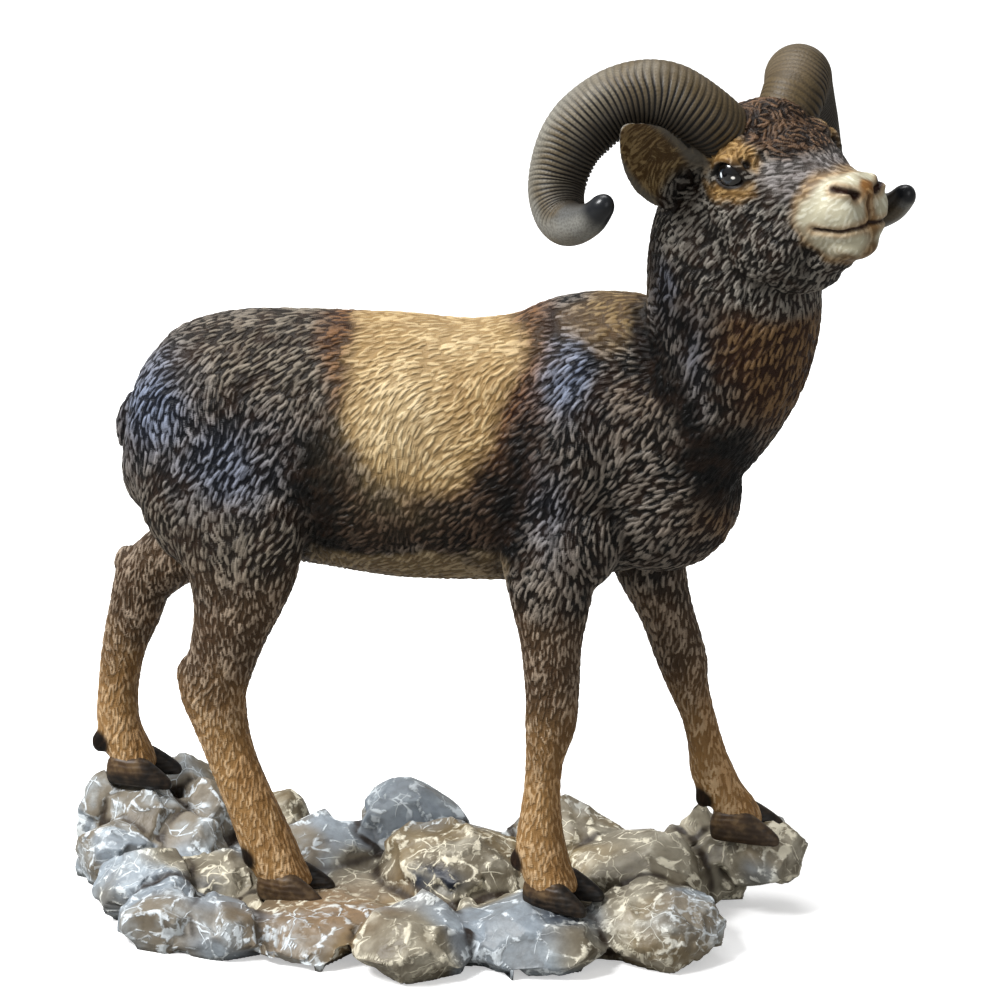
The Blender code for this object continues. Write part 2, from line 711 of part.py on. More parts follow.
def build():
    for thing in list(bpy.data.objects):
        bpy.data.objects.remove(thing)
    scene = bpy.context.scene.collection
    finished = bpy.data.collections.new("mouflon_figure")
    shop = bpy.data.collections.new("workshop")
    scene.children.link(finished)
    scene.children.link(shop)
    frame = head_frame()
    body = fused("body", trunk(shop) + legs(shop) + head(frame, shop), HAIR_VOXEL, HAIR_SMOOTHING, shop)
    body = thinned(body, BODY_FACES, shop)
    body = united(body, face_cutters(body, frame, shop), "DIFFERENCE")
    details = [make(side, frame, shop) for side in (-1, 1) for make in (horn, eye)]
    toes = [toe for name in FEET for toe in hoof(name, shop)]
    casting = united(base(shop), [body, *details, *toes])
    casting.name = casting.data.name = "mouflon_figure"
    casting.data.materials.clear()
    casting.data.materials.append(resin())
    casting.data.shade_smooth()
    casting.data.set_sharp_from_angle(angle=math.radians(38))
    for collection in list(casting.users_collection):
        collection.objects.unlink(casting)
    finished.objects.link(casting)
    bpy.data.collections.remove(shop)


build()
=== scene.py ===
"""The painted look of a cast resin mouflon ram walking over boulders.

The frame: +X is the way the body faces, +Y is its left, +Z is up. The tables are in millimetres,
and every shape is made in metres.
"""

import math
import random

import bmesh
import bpy
import numpy as np
from mathutils import Matrix, Vector

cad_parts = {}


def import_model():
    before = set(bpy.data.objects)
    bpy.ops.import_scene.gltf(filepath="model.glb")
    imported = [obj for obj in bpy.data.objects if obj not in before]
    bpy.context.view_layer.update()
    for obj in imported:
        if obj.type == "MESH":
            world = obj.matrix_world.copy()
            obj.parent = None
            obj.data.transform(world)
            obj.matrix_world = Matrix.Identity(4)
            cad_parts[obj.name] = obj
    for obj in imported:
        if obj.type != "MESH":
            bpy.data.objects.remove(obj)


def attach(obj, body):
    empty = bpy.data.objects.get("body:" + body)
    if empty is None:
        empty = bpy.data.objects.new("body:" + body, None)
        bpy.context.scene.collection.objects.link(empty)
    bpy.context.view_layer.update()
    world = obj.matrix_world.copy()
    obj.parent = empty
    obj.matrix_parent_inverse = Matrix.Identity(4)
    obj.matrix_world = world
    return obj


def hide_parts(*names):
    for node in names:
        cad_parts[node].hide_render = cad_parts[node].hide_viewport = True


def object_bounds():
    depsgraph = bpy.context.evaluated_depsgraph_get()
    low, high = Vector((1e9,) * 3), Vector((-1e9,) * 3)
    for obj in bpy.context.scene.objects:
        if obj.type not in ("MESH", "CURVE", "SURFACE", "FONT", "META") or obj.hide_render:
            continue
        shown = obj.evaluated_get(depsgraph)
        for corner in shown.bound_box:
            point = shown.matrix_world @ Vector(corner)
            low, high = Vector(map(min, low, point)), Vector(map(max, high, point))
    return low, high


MM = 0.001
# How far every carved skin stays inside the box of the plain part.
BOX_MARGIN = 0.01

# The coat, and its carved strokes: half sizes, least gaps along and across, and relief.
HAIR_VOXEL = 0.3
HAIR_SMOOTHING = 32
EGG_SHARE = 0.12
STROKE_LENGTH = 1.12
STROKE_WIDTH = 0.37
STROKE_GAPS = (1.65, 0.57)
STROKE_RELIEF = 0.32
STROKE_GRID = 0.55
COAT_HOLLOW_ROUNDS = 50

# Depth and width of the grooves cut into the face.
MOUTH_GROOVE = (0.55, 0.42)
NOSTRIL_GROOVE = (1.0, 0.75)
CLEFT_GROOVE = (0.4, 0.36)

# The tail.
TAIL_ROOT = (-47.2, 0.0, 80.0)
TAIL_LENGTH = 9.0
TAIL_RADIUS = 2.0

# Where the skin is parted into pieces. The cut below the head is sloping: x and z of a place on
# it, then how far it falls for each millimetre forwards. The others are a height and two x.
HEAD_PART = (45.0, 104.0, 0.25)
LEG_PART = 55.0
RUMP_PART = -17.0
SHOULDER_PART = 17.0

# The head, whose own frame has its origin midway between the eyes.
HEAD_CENTRE = (53.0, -8.0, 124.2)
HEAD_YAW = -35.0
HEAD_PITCH = 6.0
HEAD_ROLL = 3.0
SKULL_EGG = -0.04
# How far the head reaches from its middle: where its coat starts, and where it is full.
HEAD_REACH = (21, 17)
EYE_CENTRE = (-0.9, 8.2, 0.3)
EYE_RADIUS = 2.6
LID_RADIUS = 0.75
EAR_ROOT = (-10.6, 8.6, -4.4)
EAR_TIPS = {-1: (-7.2, -22.6, 9.0), 1: (-12.5, 17.0, 7.0)}
EAR_FACING = (0.73, 0.61, 0.31)
EAR_HALF_WIDTH = 5.0
EAR_THICKNESS = 1.3
EAR_CUP = 2.5

# The horns, in the head's frame. Half width is across the curl and half height is in its plane.
HORN_WIDTHS = (4.3, 4.9, 4.5, 3.4, 1.6)
HORN_HEIGHTS = (4.0, 4.9, 5.0, 3.7, 1.5)
HORN_KEEL = (0.766, 0.643, 0.0)
HORN_SAG = 0.51
RIDGE_COUNT = 60
RIDGE_DEPTH = 0.36
RIDGED_SHARE = 0.84
HORN_SIDES = 56
HORN_ROWS = 480
HORN_ROUND_START = 0.965
HORN_ROUND_SHARE = 0.0352
# Where the dark tip of the right horn and of the left one starts, and where it is full.
HORN_TIPS = {-1: (0.9, 0.955), 1: (0.965, 0.982)}

# The feet.
HOOF_LENGTH = 9.2
HOOF_HEIGHT = 4.4
TOE_HALF_WIDTH = 1.9
TOE_SPLAY = 8.0
TOE_GAP = 0.7
HOOF_SINK = 0.9
DEWCLAW_RADII = (1.35, 1.1, 1.9)
DEWCLAW_RISE = 5.9
DEWCLAW_BACK = 3.4
DEWCLAW_SPREAD = 1.7

# The boulders.
ROCK_VOXEL = 0.42
ROCK_SMOOTHING = 4
ROCK_HOLLOW_ROUNDS = 30
FACETS = 34
BOULDER_ROUGHNESS = 0.14
BOULDER_SINK = 0.38
SLAB_CENTRE = (-6.0, 2.0, 0.0)
SLAB_RADII = (50.0, 20.0, 5.2)
CHISEL_SPACING = 5.6
FLAKE_SPACING = 2.1
FACET_FLATNESS = 0.85
CHISEL_DEPTH = 0.4

# Washes of colour on the boulders: centre and half sizes.
PEACH_WASH = ((-13, -15, 6), (11, 10, 5))
BLUE_WASH = ((-6, 22, 8), (9, 9, 9))
CRYSTAL = ((37.0, 17.5, 13), (4, 4, 5))
ROUGH_STONE = ((33, -6, 6), (12, 10, 9))
# Dark blue spots on the stones under the belly and beside the near feet: centre and half sizes.
DARK_SPOTS = [
    ((-1, -8, 8.5), (8, 4, 3)),
    ((-34, -14, 7), (4, 4, 4)),
    ((22, -14, 6), (5, 4, 3)),
]

# The side drawing that the painted zones are laid out on: its sheet is 1000 wide and 1000 down.
# The camera stands where the drawing is seen from.
DRAWING_TURN = 15.0
DRAWING_RISE = 18.0
DRAWING_DISTANCE = 600.0
DRAWING_CENTRE = (9.5, 0.0, 68.0)
DRAWING_SCALE = 4000.0
DRAWING_MIDDLE = 500.0
CAMERA_SENSOR = 36.0
CAMERA_LENS = 144.0

# The studio, in metres: name, place, width and power of each light.
FLOOR_REACH = 3.0
LIGHTS = [
    ("key", (-0.5, -0.42, 0.8), 0.32, 15.0),
    ("top", (-0.15, 0.3, 0.95), 0.5, 5.0),
    ("fill", (0.75, -0.6, 0.35), 0.5, 1.4),
]

# Rounded masses over the trunk: centre, half sizes, and tilt about Y in degrees. A mass that lies
# off the middle comes on both sides.
MUSCLES = {
    "haunch": ((-32.4, 6.6, 71.0), (13.8, 7.6, 17.0), 8.0),
    "shoulder": ((20.5, 7.6, 77.0), (9.0, 6.2, 15.5), 20.0),
    "upper_arm": ((22.0, 7.8, 65.5), (8.4, 5.6, 8.6), 0.0),
    "brisket": ((33.5, 0.0, 72.0), (13.2, 9.8, 13.0), 0.0),
    "sheath": ((-15.0, 0.0, 57.6), (3.6, 1.7, 1.9), 0.0),
}

# The points of the hocks, one on each hind leg.
HOCKS = {
    "near_hock": ((-36.8, -9.6, 39.6), (2.4, 2.0, 3.2), 20.0),
    "far_hock": ((-53.8, 9.2, 49.6), (2.2, 2.0, 3.0), 10.0),
}

# Rounded masses of the head, in its own frame, in the same way.
HEAD_MASSES = {
    "forelock": ((-3.8, 0.0, 5.2), (6.2, 7.4, 4.0), 0.0),
    "brow": ((-2.4, 6.0, 2.9), (5.8, 3.8, 2.8), 0.0),
    "temple": ((-9.8, 6.4, 2.8), (4.8, 3.8, 5.2), 0.0),
    "cheek": ((0.2, 5.8, -9.6), (8.2, 4.4, 6.6), 0.0),
    "jaw": ((5.4, 0.0, -12.4), (7.2, 4.6, 3.3), 0.0),
    "throat": ((1.6, 0.0, -14.6), (7.2, 6.2, 4.2), 0.0),
    "chin": ((12.0, 0.0, -10.3), (4.9, 3.6, 2.7), 0.0),
    "nose": ((13.8, 0.0, -3.0), (3.4, 3.3, 2.2), 0.0),
    "wing": ((14.4, 3.1, -2.3), (2.6, 1.7, 1.4), 12.0),
    "lip": ((12.8, 2.8, -5.3), (4.0, 2.8, 2.9), 0.0),
}

# Place along the trunk, height of its middle, half width, half height.
TRUNK = [
    (-49.0, 72.6, 4.5, 6.5),
    (-46.0, 72.4, 9.2, 11.6),
    (-39.6, 73.4, 12.0, 16.6),
    (-31.5, 75.2, 12.8, 19.2),
    (-20.0, 75.6, 12.4, 20.0),
    (-6.0, 75.3, 13.8, 20.6),
    (6.0, 75.6, 14.0, 20.2),
    (17.0, 77.2, 13.0, 20.8),
    (26.0, 80.0, 11.6, 21.6),
    (33.0, 79.8, 10.8, 19.8),
    (40.4, 75.0, 9.6, 13.0),
    (45.4, 72.6, 5.5, 7.0),
]

# Middle of the neck, then half depth from nape to throat, and half width.
NECK = [
    (32.0, 0.0, 80.0, 15.0, 9.5),
    (40.0, -0.8, 86.0, 12.2, 11.4),
    (44.0, -1.6, 93.5, 12.4, 12.0),
    (45.2, -2.2, 101.0, 12.9, 11.6),
    (45.0, -3.2, 108.0, 12.6, 10.7),
    (45.0, -4.4, 114.5, 11.2, 9.6),
    (46.2, -5.2, 121.0, 8.0, 7.5),
]

# In the head's frame: place forwards, height of the middle, half width, half height.
SKULL = [
    (-14.5, -2.8, 5.5, 7.5),
    (-9.0, -3.8, 9.6, 11.2),
    (-2.0, -5.0, 10.7, 12.4),
    (4.0, -5.4, 9.2, 10.4),
    (8.6, -5.6, 6.6, 7.4),
    (12.4, -5.6, 5.2, 5.7),
    (15.0, -5.4, 4.8, 5.2),
    (16.6, -5.2, 3.4, 3.8),
]

# The line of the mouth from its right corner to the middle of the lips.
MOUTH = [
    (10.8, -5.9, -7.7),
    (14.3, -4.9, -8.2),
    (16.3, -3.4, -7.6),
    (17.0, 0.0, -7.2),
]

# The right nostril from its outer corner inwards.
NOSTRIL = [
    (13.6, -4.9, -1.3),
    (14.9, -4.4, -1.7),
    (16.1, -3.2, -2.1),
    (16.8, -2.0, -2.9),
]

# The cleft from the nose down to the upper lip.
PHILTRUM = [
    (16.8, 0.0, -3.4),
    (16.8, 0.0, -5.2),
    (16.8, 0.0, -7.0),
]

# The upper lid of the right eye from its back corner to its front one, and the lower lid.
UPPER_LID = [
    (-4.4, -9.5, -0.3),
    (-2.6, -10.0, 1.9),
    (-0.2, -10.2, 2.5),
    (1.5, -9.5, 1.1),
    (2.3, -8.6, -1.2),
]
LOWER_LID = [
    (-4.4, -9.5, -0.3),
    (-2.2, -9.9, -1.6),
    (0.4, -9.7, -1.9),
    (2.3, -8.6, -1.2),
]

# Middle of the right horn, from its root in the skull to its tip.
HORN = [
    (-4.8, -2.6, 1.6),
    (-5.6, -8.3, 7.6),
    (-9.4, -13.2, 11.7),
    (-14.0, -18.0, 11.2),
    (-18.0, -22.8, 6.8),
    (-19.2, -25.8, 0.4),
    (-15.6, -28.0, -3.8),
    (-9.0, -29.0, -2.8),
    (-4.4, -29.1, 0.6),
]

# Middle of the leg, then half depth from front to back, and half width.
LEGS = {
    "near_fore": [
        (18.6, -6.0, 77.0, 7.0, 3.6),
        (19.0, -7.8, 68.0, 8.2, 5.0),
        (19.5, -8.8, 60.0, 7.2, 4.9),
        (19.7, -9.0, 54.0, 5.9, 4.3),
        (19.8, -9.0, 49.0, 4.8, 3.8),
        (20.0, -9.0, 40.5, 4.2, 3.5),
        (19.7, -9.0, 36.0, 4.0, 3.3),
        (18.9, -9.0, 31.0, 3.05, 2.8),
        (18.5, -9.0, 26.0, 2.9, 2.7),
        (18.3, -9.0, 21.5, 3.3, 3.0),
        (18.3, -9.1, 17.0, 3.9, 3.5),
        (19.4, -9.4, 12.8, 3.9, 3.8),
        (20.8, -9.7, 10.4, 3.6, 3.9),
        (22.4, -10.1, 8.6, 2.6, 3.4),
    ],
    "far_fore": [
        (27.0, 6.0, 76.0, 6.5, 3.4),
        (28.0, 7.8, 67.0, 7.2, 4.6),
        (30.6, 8.6, 57.0, 5.8, 4.3),
        (33.1, 9.4, 49.4, 4.4, 3.6),
        (35.6, 9.8, 41.8, 4.1, 3.4),
        (36.6, 10.2, 37.3, 3.3, 3.0),
        (38.1, 10.6, 32.6, 2.75, 2.7),
        (39.3, 11.0, 27.5, 2.9, 2.7),
        (40.4, 11.4, 22.8, 3.5, 3.1),
        (42.5, 11.8, 19.3, 3.1, 3.1),
        (44.1, 12.1, 16.9, 3.3, 3.4),
        (45.5, 12.3, 15.0, 2.9, 3.7),
        (46.5, 12.4, 13.6, 2.1, 3.3),
    ],
    "near_hind": [
        (-31.0, -6.0, 77.0, 10.0, 4.4),
        (-30.0, -8.2, 67.0, 12.0, 6.0),
        (-28.6, -9.4, 58.5, 9.9, 5.6),
        (-28.9, -9.9, 53.0, 7.7, 4.9),
        (-30.2, -9.9, 47.5, 6.1, 4.3),
        (-32.0, -9.7, 41.5, 5.4, 3.8),
        (-33.4, -9.6, 37.4, 5.6, 3.6),
        (-32.5, -9.4, 32.5, 4.7, 3.4),
        (-31.2, -9.2, 27.5, 4.1, 3.1),
        (-29.0, -9.1, 21.5, 4.0, 3.1),
        (-26.8, -9.0, 16.1, 4.2, 3.4),
        (-24.9, -9.0, 11.5, 4.4, 3.8),
        (-23.2, -9.0, 8.4, 4.0, 3.9),
        (-21.2, -9.0, 6.2, 3.2, 3.8),
        (-19.6, -9.1, 4.8, 2.2, 3.2),
    ],
    "far_hind": [
        (-30.5, 6.0, 75.0, 9.5, 4.4),
        (-31.0, 8.0, 66.0, 11.0, 6.0),
        (-36.0, 8.8, 60.0, 8.2, 5.2),
        (-43.5, 9.2, 53.6, 5.8, 4.4),
        (-50.4, 9.2, 47.6, 5.0, 3.8),
        (-52.6, 9.0, 41.5, 4.4, 3.5),
        (-54.6, 9.0, 35.5, 3.7, 3.1),
        (-55.7, 9.0, 29.0, 3.4, 2.9),
        (-56.0, 9.0, 23.5, 3.6, 3.0),
        (-55.2, 9.0, 20.0, 3.7, 3.3),
        (-54.0, 9.1, 17.6, 3.6, 3.5),
        (-52.8, 9.2, 15.5, 3.2, 3.7),
        (-51.8, 9.3, 14.0, 2.3, 3.3),
    ],
}

# Heel on the ground, height of the stone there, and the way the foot points in degrees.
FEET = {
    "near_fore": (18.6, -8.9, 8.4, -10.0),
    "far_fore": (42.4, 12.2, 13.3, 6.0),
    "near_hind": (-24.2, -9.0, 4.6, 2.0),
    "far_hind": (-55.4, 9.2, 13.6, 6.0),
}

# Along a toe: share of its length, then of its half width and height. Round it: the same for a ring.
TOE_SECTIONS = [
    (-0.22, 0.55, 0.80),
    (0.0, 0.95, 1.05),
    (0.35, 1.0, 1.05),
    (0.62, 0.92, 0.78),
    (0.86, 0.66, 0.48),
    (1.0, 0.26, 0.26),
]
TOE_OUTLINE = [
    (-1.0, 0.0),
    (1.0, 0.0),
    (1.05, 0.35),
    (0.80, 0.78),
    (0.30, 1.0),
    (-0.30, 1.0),
    (-0.80, 0.78),
    (-1.05, 0.35),
]

# Middle of each boulder's foot, its half length, half width, height, and turn in degrees.
BOULDERS = [
    (-58.5, 8.0, 4.2, 5.0, 14.5, 10.0),
    (-51.5, 7.5, 8.2, 9.0, 13.2, 20.0),
    (-52.8, -0.8, 8.0, 6.8, 10.5, -15.0),
    (-49.0, 20.0, 6.5, 6.5, 13.5, 0.0),
    (-43.0, 13.5, 6.0, 7.0, 12.5, 40.0),
    (-42.0, 3.5, 6.5, 6.0, 9.8, 10.0),
    (-43.8, -11.8, 8.6, 6.8, 9.8, 25.0),
    (-37.6, -20.8, 8.0, 8.0, 8.8, -10.0),
    (-28.4, -21.6, 7.0, 7.4, 8.2, 15.0),
    (-33.5, -6.0, 7.5, 7.0, 8.6, 0.0),
    (-16.4, -14.0, 13.2, 14.2, 6.2, 8.0),
    (-22.5, 9.0, 10.0, 9.0, 9.0, 0.0),
    (-9.6, 17.0, 10.0, 8.5, 15.0, 12.0),
    (-33.0, 17.0, 7.0, 7.5, 9.0, 0.0),
    (1.6, -19.6, 9.2, 10.6, 9.2, 0.0),
    (1.5, 4.0, 14.0, 12.4, 12.6, -8.0),
    (17.5, -11.8, 13.4, 11.4, 8.6, -12.0),
    (35.6, -6.0, 10.8, 9.8, 10.6, 18.0),
    (17.0, 15.5, 11.0, 8.0, 13.2, 0.0),
    (29.0, 8.5, 13.4, 11.0, 13.0, 14.0),
    (37.0, 17.5, 4.0, 3.6, 16.2, 35.0),
    (39.8, 15.0, 5.8, 5.4, 12.5, 0.0),
    (-7.6, -15.4, 6.0, 8.0, 6.0, 20.0),
    (9.8, -12.6, 6.4, 9.0, 7.4, -10.0),
]

# Stones that overhang: the middle, its height too, then half length, half width, half height and turn.
PERCHED = [
    (47.8, 15.0, 8.8, 7.2, 7.2, 5.4, 10.0),
]

# Painted zones of the trunk and neck on the side drawing: name, width of the soft edge, outline.
BODY_ZONES = [
    ("taupe", 24, [(150, 330), (330, 290), (335, 350), (300, 405), (200, 395), (150, 380)]),
    ("taupe", 22, [(128, 480), (200, 490), (300, 525), (296, 570), (250, 610), (180, 600), (140, 545)]),
    ("fringe", 20, [
        (490, 290), (545, 292), (550, 350), (540, 410), (514, 458), (480, 503), (400, 508),
        (380, 440),
    ]),
    ("fringe", 16, [(326, 290), (375, 290), (360, 420), (332, 410), (318, 345)]),
    ("umber", 16, [
        (318, 410), (350, 470), (400, 505), (450, 505), (495, 460), (535, 410), (545, 470),
        (505, 562), (330, 552), (306, 520),
    ]),
    ("belly", 7, [(312, 544), (400, 562), (505, 558), (505, 620), (320, 620)]),
    ("withers", 10, [
        (556, 312), (600, 290), (640, 290), (646, 322), (632, 338), (598, 346), (566, 340),
    ]),
    ("russet", 24, [
        (730, 300), (800, 290), (840, 330), (812, 400), (775, 432), (742, 415), (718, 360),
    ]),
    ("shadow", 15, [(296, 430), (324, 432), (344, 490), (352, 550), (314, 556), (294, 505)]),
    ("shadow", 12, [(512, 448), (536, 436), (524, 490), (514, 566), (492, 566), (488, 505)]),
    ("shadow", 18, [(690, 412), (750, 436), (775, 465), (748, 508), (700, 508), (670, 470)]),
    ("shadow", 9, [(638, 300), (656, 325), (672, 375), (706, 440), (692, 456), (648, 390), (630, 335)]),
    ("saddle", 15, [
        (358, 280), (512, 280), (514, 370), (503, 412), (484, 451), (462, 482), (440, 495),
        (405, 496), (376, 485), (358, 460), (350, 430), (350, 395), (355, 350),
    ]),
]

# Softer patches: name, place on the drawing, half sizes, strength.
BODY_PATCHES = [
    ("cream_patch", 402, 415, 44, 62, 1.0),
    ("cream_patch", 450, 345, 60, 30, 0.5),
    # The blue patches are painted sheen: cool light reflected off the dark coat on the rump, flank,
    # shoulder and neck.
    ("blue", 152, 402, 36, 54, 1.0),
    ("blue", 226, 468, 58, 42, 0.75),
    ("blue", 567, 374, 24, 46, 1.0),
    ("blue", 548, 512, 22, 40, 0.4),
    ("blue", 666, 262, 14, 55, 0.7),
    ("blue", 692, 362, 18, 46, 0.4),
    ("russet", 716, 522, 34, 22, 0.8),
    ("russet", 640, 400, 40, 30, 0.35),
    ("taupe", 230, 520, 60, 40, 0.5),
]

# How pale each foot's right toe and its left one are painted. The paleness is painted light, most on
# the near, right toes; the far ones stay dark as painted shade.
TOE_LIGHT_SHARES = {
    "near_fore": (0.05, 0.0),
    "far_fore": (0.4, 0.1),
    "near_hind": (0.55, 0.05),
    "far_hind": (0.05, 0.0),
}

# Painted zones of the face in the same way.
FACE_ZONES = [
    ("forelock", 8, [
        (700, 80), (850, 80), (852, 130), (820, 150), (780, 160), (755, 148), (735, 132),
        (705, 128),
    ]),
    ("bridge", 9, [
        (757, 162), (800, 152), (840, 150), (845, 168), (812, 186), (796, 206), (775, 200),
        (760, 185),
    ]),
    ("ochre", 6, [
        (700, 156), (709, 142), (735, 136), (753, 146), (760, 160), (757, 172), (735, 162),
        (718, 162), (704, 172),
    ]),
    ("ochre", 6, [(702, 180), (712, 184), (735, 187), (752, 184), (755, 194), (735, 203), (711, 199)]),
    ("tawny", 6, [
        (808, 176), (846, 164), (905, 156), (905, 272), (832, 263), (806, 244), (789, 218),
        (796, 196),
    ]),
    ("cream", 6, [
        (856, 172), (836, 176), (816, 186), (802, 203), (795, 218), (803, 230), (815, 243),
        (831, 254), (858, 256), (868, 240), (862, 205), (862, 190),
    ]),
    ("nose", 4, [(866, 176), (895, 168), (897, 224), (880, 224), (871, 206), (860, 186)]),
]


# Shapes, all in millimetres until they become objects.


def joined(shells):
    """One pair of points and faces from several."""
    points, faces, count = [], [], 0
    for places, sides in shells:
        points.append(np.asarray(places, float))
        faces += [tuple(count + i for i in side) for side in sides]
        count += len(places)
    return np.concatenate(points), faces


def ring_loft(rings):
    """A closed body through rings of equal point counts, capped at both ends."""
    sides = len(rings[0])
    faces = []
    for k in range(len(rings) - 1):
        for i in range(sides):
            j = (i + 1) % sides
            a, b = k * sides, (k + 1) * sides
            faces.append((a + i, a + j, b + j, b + i))
    last = (len(rings) - 1) * sides
    faces.append(tuple(range(sides - 1, -1, -1)))
    faces.append(tuple(last + i for i in range(sides)))
    return np.array(rings, float).reshape(-1, 3), faces


def through(stations, steps):
    """Points on a smooth curve through the stations, for every number that a station holds."""
    rows = np.array([stations[0], *stations, stations[-1]], float)
    made = []
    for a, b, c, d in zip(rows, rows[1:], rows[2:], rows[3:]):
        for t in np.arange(steps) / steps:
            square = 2 * a - 5 * b + 4 * c - d
            cube = 3 * b - a - 3 * c + d
            made.append(0.5 * (2 * b + (c - a) * t + square * t**2 + cube * t**3))
    made.append(rows[-1])
    return np.array(made)


def limb(stations, sides=20, steps=4, egg=0.0):
    """A loft along x, y, z through ovals: half size fore and aft, then half size across."""
    rows = through(stations, steps)
    middles = [Vector(row[:3]) for row in rows]
    rings = []
    for k, row in enumerate(rows):
        ahead = (middles[min(k + 1, len(rows) - 1)] - middles[max(k - 1, 0)]).normalized()
        side = (Vector((0, 1, 0)) - ahead * ahead.y).normalized()
        other = side.cross(ahead).normalized()
        ring = []
        for i in range(sides):
            angle = math.tau * i / sides
            narrow = 1 - egg * math.sin(angle)
            wide, deep = row[4] * narrow * math.cos(angle), row[3] * math.sin(angle)
            ring.append(middles[k] + side * wide + other * deep)
        rings.append(ring)
    return ring_loft(rings)


def ellipsoid(centre, radii, tilt=0.0, sides=20):
    """A rounded mass. The tilt is in degrees about Y."""
    rings = []
    count = sides // 2
    for k in range(1, count):
        height = math.cos(math.pi * k / count)
        ring = math.sin(math.pi * k / count)
        angles = 2 * np.pi * np.arange(sides) / sides
        across, along = ring * np.cos(angles), -ring * np.sin(angles)
        rings.append(np.stack([across, along, np.full(sides, height)], 1))
    points, faces = ring_loft(rings)
    turn = np.array(Matrix.Rotation(math.radians(tilt), 3, "Y"))
    return (points * radii) @ turn.T + centre, faces


def masses(table):
    """The rounded masses of a table, those off the middle on both sides."""
    made = []
    for (x, y, z), radii, tilt in table.values():
        for side in (-1, 1) if y else (1,):
            made.append(ellipsoid((x, y * side, z), radii, tilt))
    return made


def moved(shell, matrix):
    """The shell after a matrix in millimetres."""
    grid = np.array(matrix)
    return shell[0] @ grid[:3, :3].T + grid[:3, 3], shell[1]


def made_object(name, shell):
    """An object in metres from points in millimetres."""
    data = bpy.data.meshes.new(name)
    data.from_pydata((shell[0] * MM).tolist(), [], shell[1])
    shape = bmesh.new()
    shape.from_mesh(data)
    bmesh.ops.recalc_face_normals(shape, faces=shape.faces)
    shape.to_mesh(data)
    shape.free()
    made = bpy.data.objects.new(name, data)
    bpy.context.scene.collection.objects.link(made)
    return made


def applied(source):
    """The object's mesh with its modifiers applied. The object itself goes."""
    graph = bpy.context.evaluated_depsgraph_get()
    data = bpy.data.meshes.new_from_object(source.evaluated_get(graph))
    bpy.data.objects.remove(source)
    return data


def melted(name, shells, voxel, smoothing):
    """Overlapping shells melted into one skin, as points in millimetres, unit normals and quads."""
    rough = made_object(name, joined(shells))
    remesh = rough.modifiers.new("melt", "REMESH")
    remesh.mode = "VOXEL"
    remesh.voxel_size = voxel * MM
    soften = rough.modifiers.new("soften", "SMOOTH")
    soften.factor = 0.5
    soften.iterations = smoothing
    data = applied(rough)
    points = np.zeros(len(data.vertices) * 3)
    data.vertices.foreach_get("co", points)
    normals = np.zeros(len(data.vertices) * 3)
    data.vertex_normals.foreach_get("vector", normals)
    corners = np.zeros(len(data.loops), np.int32)
    data.loops.foreach_get("vertex_index", corners)
    quads = corners.reshape(-1, 4)
    bpy.data.meshes.remove(data)
    return points.reshape(-1, 3) / MM, normals.reshape(-1, 3), quads


def skin_object(name, points, quads, masks, flow=None):
    """An object with a named float for each vertex in every mask."""
    used, lookup = np.unique(quads, return_inverse=True)
    faces = lookup.reshape(quads.shape)
    data = bpy.data.meshes.new(name)
    data.vertices.add(len(used))
    data.vertices.foreach_set("co", (points[used] * MM).astype(np.float32).ravel())
    data.loops.add(faces.size)
    data.loops.foreach_set("vertex_index", faces.astype(np.int32).ravel())
    data.polygons.add(len(faces))
    data.polygons.foreach_set("loop_start", np.arange(0, faces.size, faces.shape[1], dtype=np.int32))
    data.update(calc_edges=True)
    data.validate()
    for label, values in masks.items():
        layer = data.attributes.new(label, "FLOAT", "POINT")
        layer.data.foreach_set("value", values[used].astype(np.float32))
    if flow is not None:
        layer = data.attributes.new("flow", "FLOAT_VECTOR", "POINT")
        layer.data.foreach_set("vector", flow[used].astype(np.float32).ravel())
    made = bpy.data.objects.new(name, data)
    bpy.context.scene.collection.objects.link(made)
    return made


def closed_off(piece):
    """Fills the open rims where a skin was parted, with a sharp edge round each."""
    shape = bmesh.new()
    shape.from_mesh(piece.data)
    rims = [edge for edge in shape.edges if edge.is_boundary]
    for edge in rims:
        edge.smooth = False
    for face in shape.faces:
        face.smooth = True
    bmesh.ops.holes_fill(shape, edges=rims, sides=0)
    shape.to_mesh(piece.data)
    shape.free()
    return piece


# Fields: smooth steps, waves, and distances. Each random field has a seed of its own.


def step(start, end, value):
    """0 at start, 1 at end, and smooth between them."""
    t = np.clip((value - start) / (end - start), 0, 1)
    return t * t * (3 - 2 * t)


def blob(points, centre, radii):
    """1 at the centre, falling softly to nothing outside the radii."""
    return np.exp(-(((points - np.array(centre)) / np.array(radii)) ** 2).sum(1))


def waves(points, size, seed, count=9):
    """A smooth random field between about -1 and 1, with bumps of that size."""
    chance = np.random.default_rng(seed)
    total = np.zeros(len(points))
    for _ in range(count):
        axis = chance.normal(size=3)
        axis *= chance.uniform(0.6, 1.5) * math.pi / size / np.linalg.norm(axis)
        total += np.sin(points @ axis + chance.uniform(0, 2 * math.pi))
    return total / math.sqrt(count * 0.9)


def drift(points, size, seed):
    """A vector for each point, with such waves in all three coordinates."""
    return np.stack([waves(points, size, seed + k) for k in range(3)], 1)


def unit(rows):
    """Rows of vectors at length one."""
    return rows / np.maximum(np.linalg.norm(rows, axis=1, keepdims=True), 1e-9)


def line_distance(points, line):
    """Distance from each point to a polyline."""
    best = np.full(len(points), 1e9)
    for a, b in zip(line, line[1:]):
        along = b - a
        t = np.clip((points - a) @ along / max(along @ along, 1e-9), 0, 1)
        best = np.minimum(best, np.linalg.norm(points - a - t[:, None] * along, axis=1))
    return best


